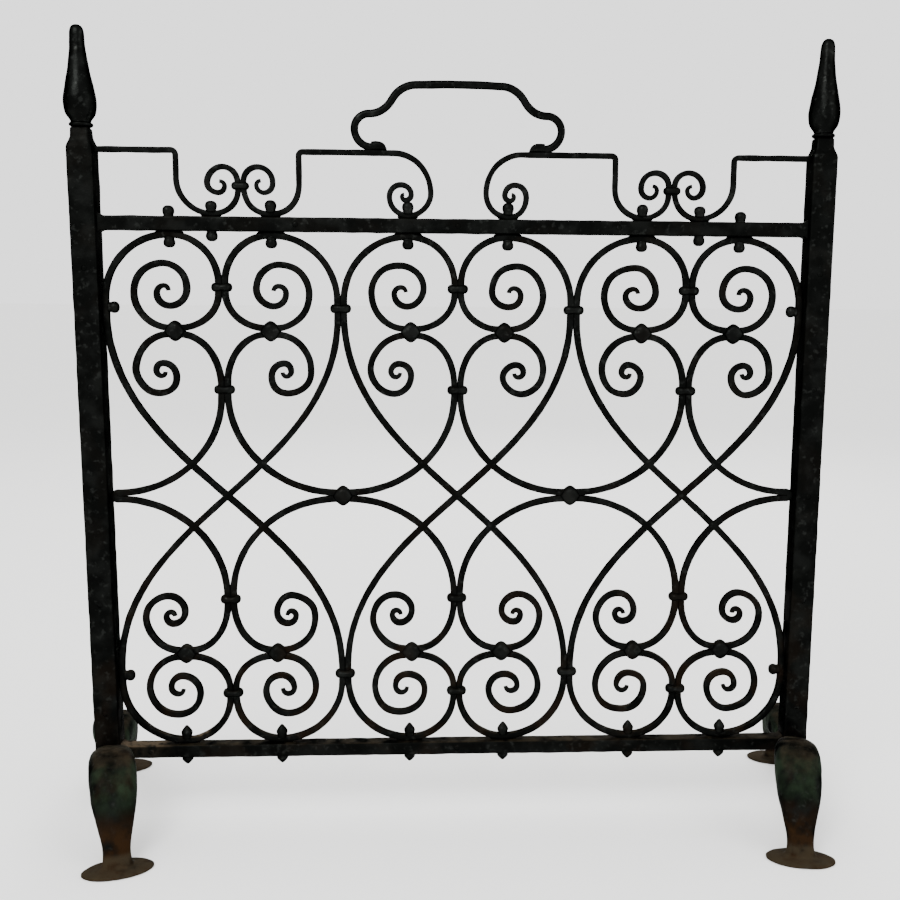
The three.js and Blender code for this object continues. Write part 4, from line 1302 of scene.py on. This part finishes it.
class FIRESCREEN_OT_scrolls(bpy.types.Operator):
    """Bend the scrolls of the grille"""

    bl_idname = "fire_screen.scrolls"
    bl_label = "Grille scrolls"

    def execute(self, context):
        bars = {}
        for pair in range(len(PAIR_CENTRES)):
            for side, word in SIDES.items():
                bars[f"long_scroll_{pair + 1}_{word}"] = long_scroll(pair, side)
        for side, word in SIDES.items():
            bars[f"bowl_scroll_upper_{word}"] = bowl_scroll(side, True)
            bars[f"bowl_scroll_lower_{word}"] = bowl_scroll(side, False)
            bars[f"side_scroll_{word}"] = side_scroll(side)
        for i, (name, points) in enumerate(bars.items()):
            forged_bar(name, points, MID_Z, BAR, "scroll_iron", (True, True), SCROLL_SEED + i)
        return {"FINISHED"}


class FIRESCREEN_OT_cresting(bpy.types.Operator):
    """Bend the cresting that stands on the top rail"""

    bl_idname = "fire_screen.cresting"
    bl_label = "Cresting"

    def execute(self, context):
        bars = (
            ("crest_outer", outer_crest(), (False, True)), ("crest_inner", inner_crest(), (True, True)),
        )
        for i, (name, points, tips) in enumerate(bars):
            for side, word in SIDES.items():
                axis = points if side == LEFT else mirrored_x(points)
                seed = CREST_SEEDS[side] + i
                forged_bar(f"{name}_{word}", axis, CREST_LOW_Z, CREST_BAR, "crest_iron", tips, seed)
        return {"FINISHED"}


class FIRESCREEN_OT_collars(bpy.types.Operator):
    """Bend the collars that hold the scrolls together"""

    bl_idname = "fire_screen.collars"
    bl_label = "Collars"

    def execute(self, context):
        grille = [n for n in sorted(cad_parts) if n.startswith("collar_")]
        stacked = [n for n in grille if span(n).x < span(n).z]
        upright = [n for n in grille if n not in stacked]
        crest = ["crest_collar_left", "crest_collar_right"]
        make_collars("upright_collars", upright, BAR, UPRIGHT_COLLAR)
        make_collars("stacked_collars", stacked, BAR, STACKED_COLLAR)
        make_collars("crest_collars", crest, CREST_BAR, CREST_COLLAR)
        return {"FINISHED"}


class FIRESCREEN_OT_studs(bpy.types.Operator):
    """Set the ball-headed studs, the saddles round them and the flush pins"""

    bl_idname = "fire_screen.studs"
    bl_label = "Studs and pins"

    def execute(self, context):
        knobs, acorns = stud_places()
        knob = turned_shape("knob_shape", KNOB_OUTLINE, 24)
        make_shapes("knob_studs", knob, knobs, "collar_iron")
        acorn = turned_shape("acorn_shape", ACORN_OUTLINE, 24)
        make_shapes("acorn_studs", acorn, acorns, "collar_iron")
        saddle = turned_shape("saddle_shape", SADDLE_OUTLINE, 20)
        make_shapes("stud_saddles", saddle, saddle_places(), "scroll_iron")
        pin = turned_shape("pin_shape", PIN_OUTLINE, 16)
        make_shapes("flush_pins", pin, pin_places(), "frame_iron")
        return {"FINISHED"}


class FIRESCREEN_OT_handle(bpy.types.Operator):
    """Bend the carrying handle and flatten its feet"""

    bl_idname = "fire_screen.handle"
    bl_label = "Handle"

    def execute(self, context):
        make_handle()
        return {"FINISHED"}


OPERATORS = (
    FIRESCREEN_OT_stage,
    FIRESCREEN_OT_posts,
    FIRESCREEN_OT_finials,
    FIRESCREEN_OT_legs,
    FIRESCREEN_OT_rails,
    FIRESCREEN_OT_scrolls,
    FIRESCREEN_OT_cresting,
    FIRESCREEN_OT_collars,
    FIRESCREEN_OT_studs,
    FIRESCREEN_OT_handle,
)


class FIRESCREEN_PT_panel(bpy.types.Panel):
    """Lists the pieces of the fire screen and the sizes and colours they use"""

    bl_idname = "FIRESCREEN_PT_panel"
    bl_label = "Fire Screen"
    bl_space_type = "VIEW_3D"
    bl_region_type = "UI"
    bl_category = "Fire Screen"

    def draw(self, context):
        for settings in (context.scene.screen_sizes, context.scene.screen_finish):
            for key in settings.__annotations__:
                self.layout.prop(settings, key)
        for operator in OPERATORS:
            self.layout.operator(operator.bl_idname)


CLASSES = (ScreenSizes, ScreenFinish, *OPERATORS, FIRESCREEN_PT_panel)


def register():
    for cls in CLASSES:
        bpy.utils.register_class(cls)
    bpy.types.Scene.screen_sizes = bpy.props.PointerProperty(type=ScreenSizes)
    bpy.types.Scene.screen_finish = bpy.props.PointerProperty(type=ScreenFinish)


def unregister():
    del bpy.types.Scene.screen_finish
    del bpy.types.Scene.screen_sizes
    for cls in reversed(CLASSES):
        bpy.utils.unregister_class(cls)


def main():
    register()
    for operator in OPERATORS:
        group, name = operator.bl_idname.split(".")
        getattr(getattr(bpy.ops, group), name)()


if __name__ == "__main__":
    main()
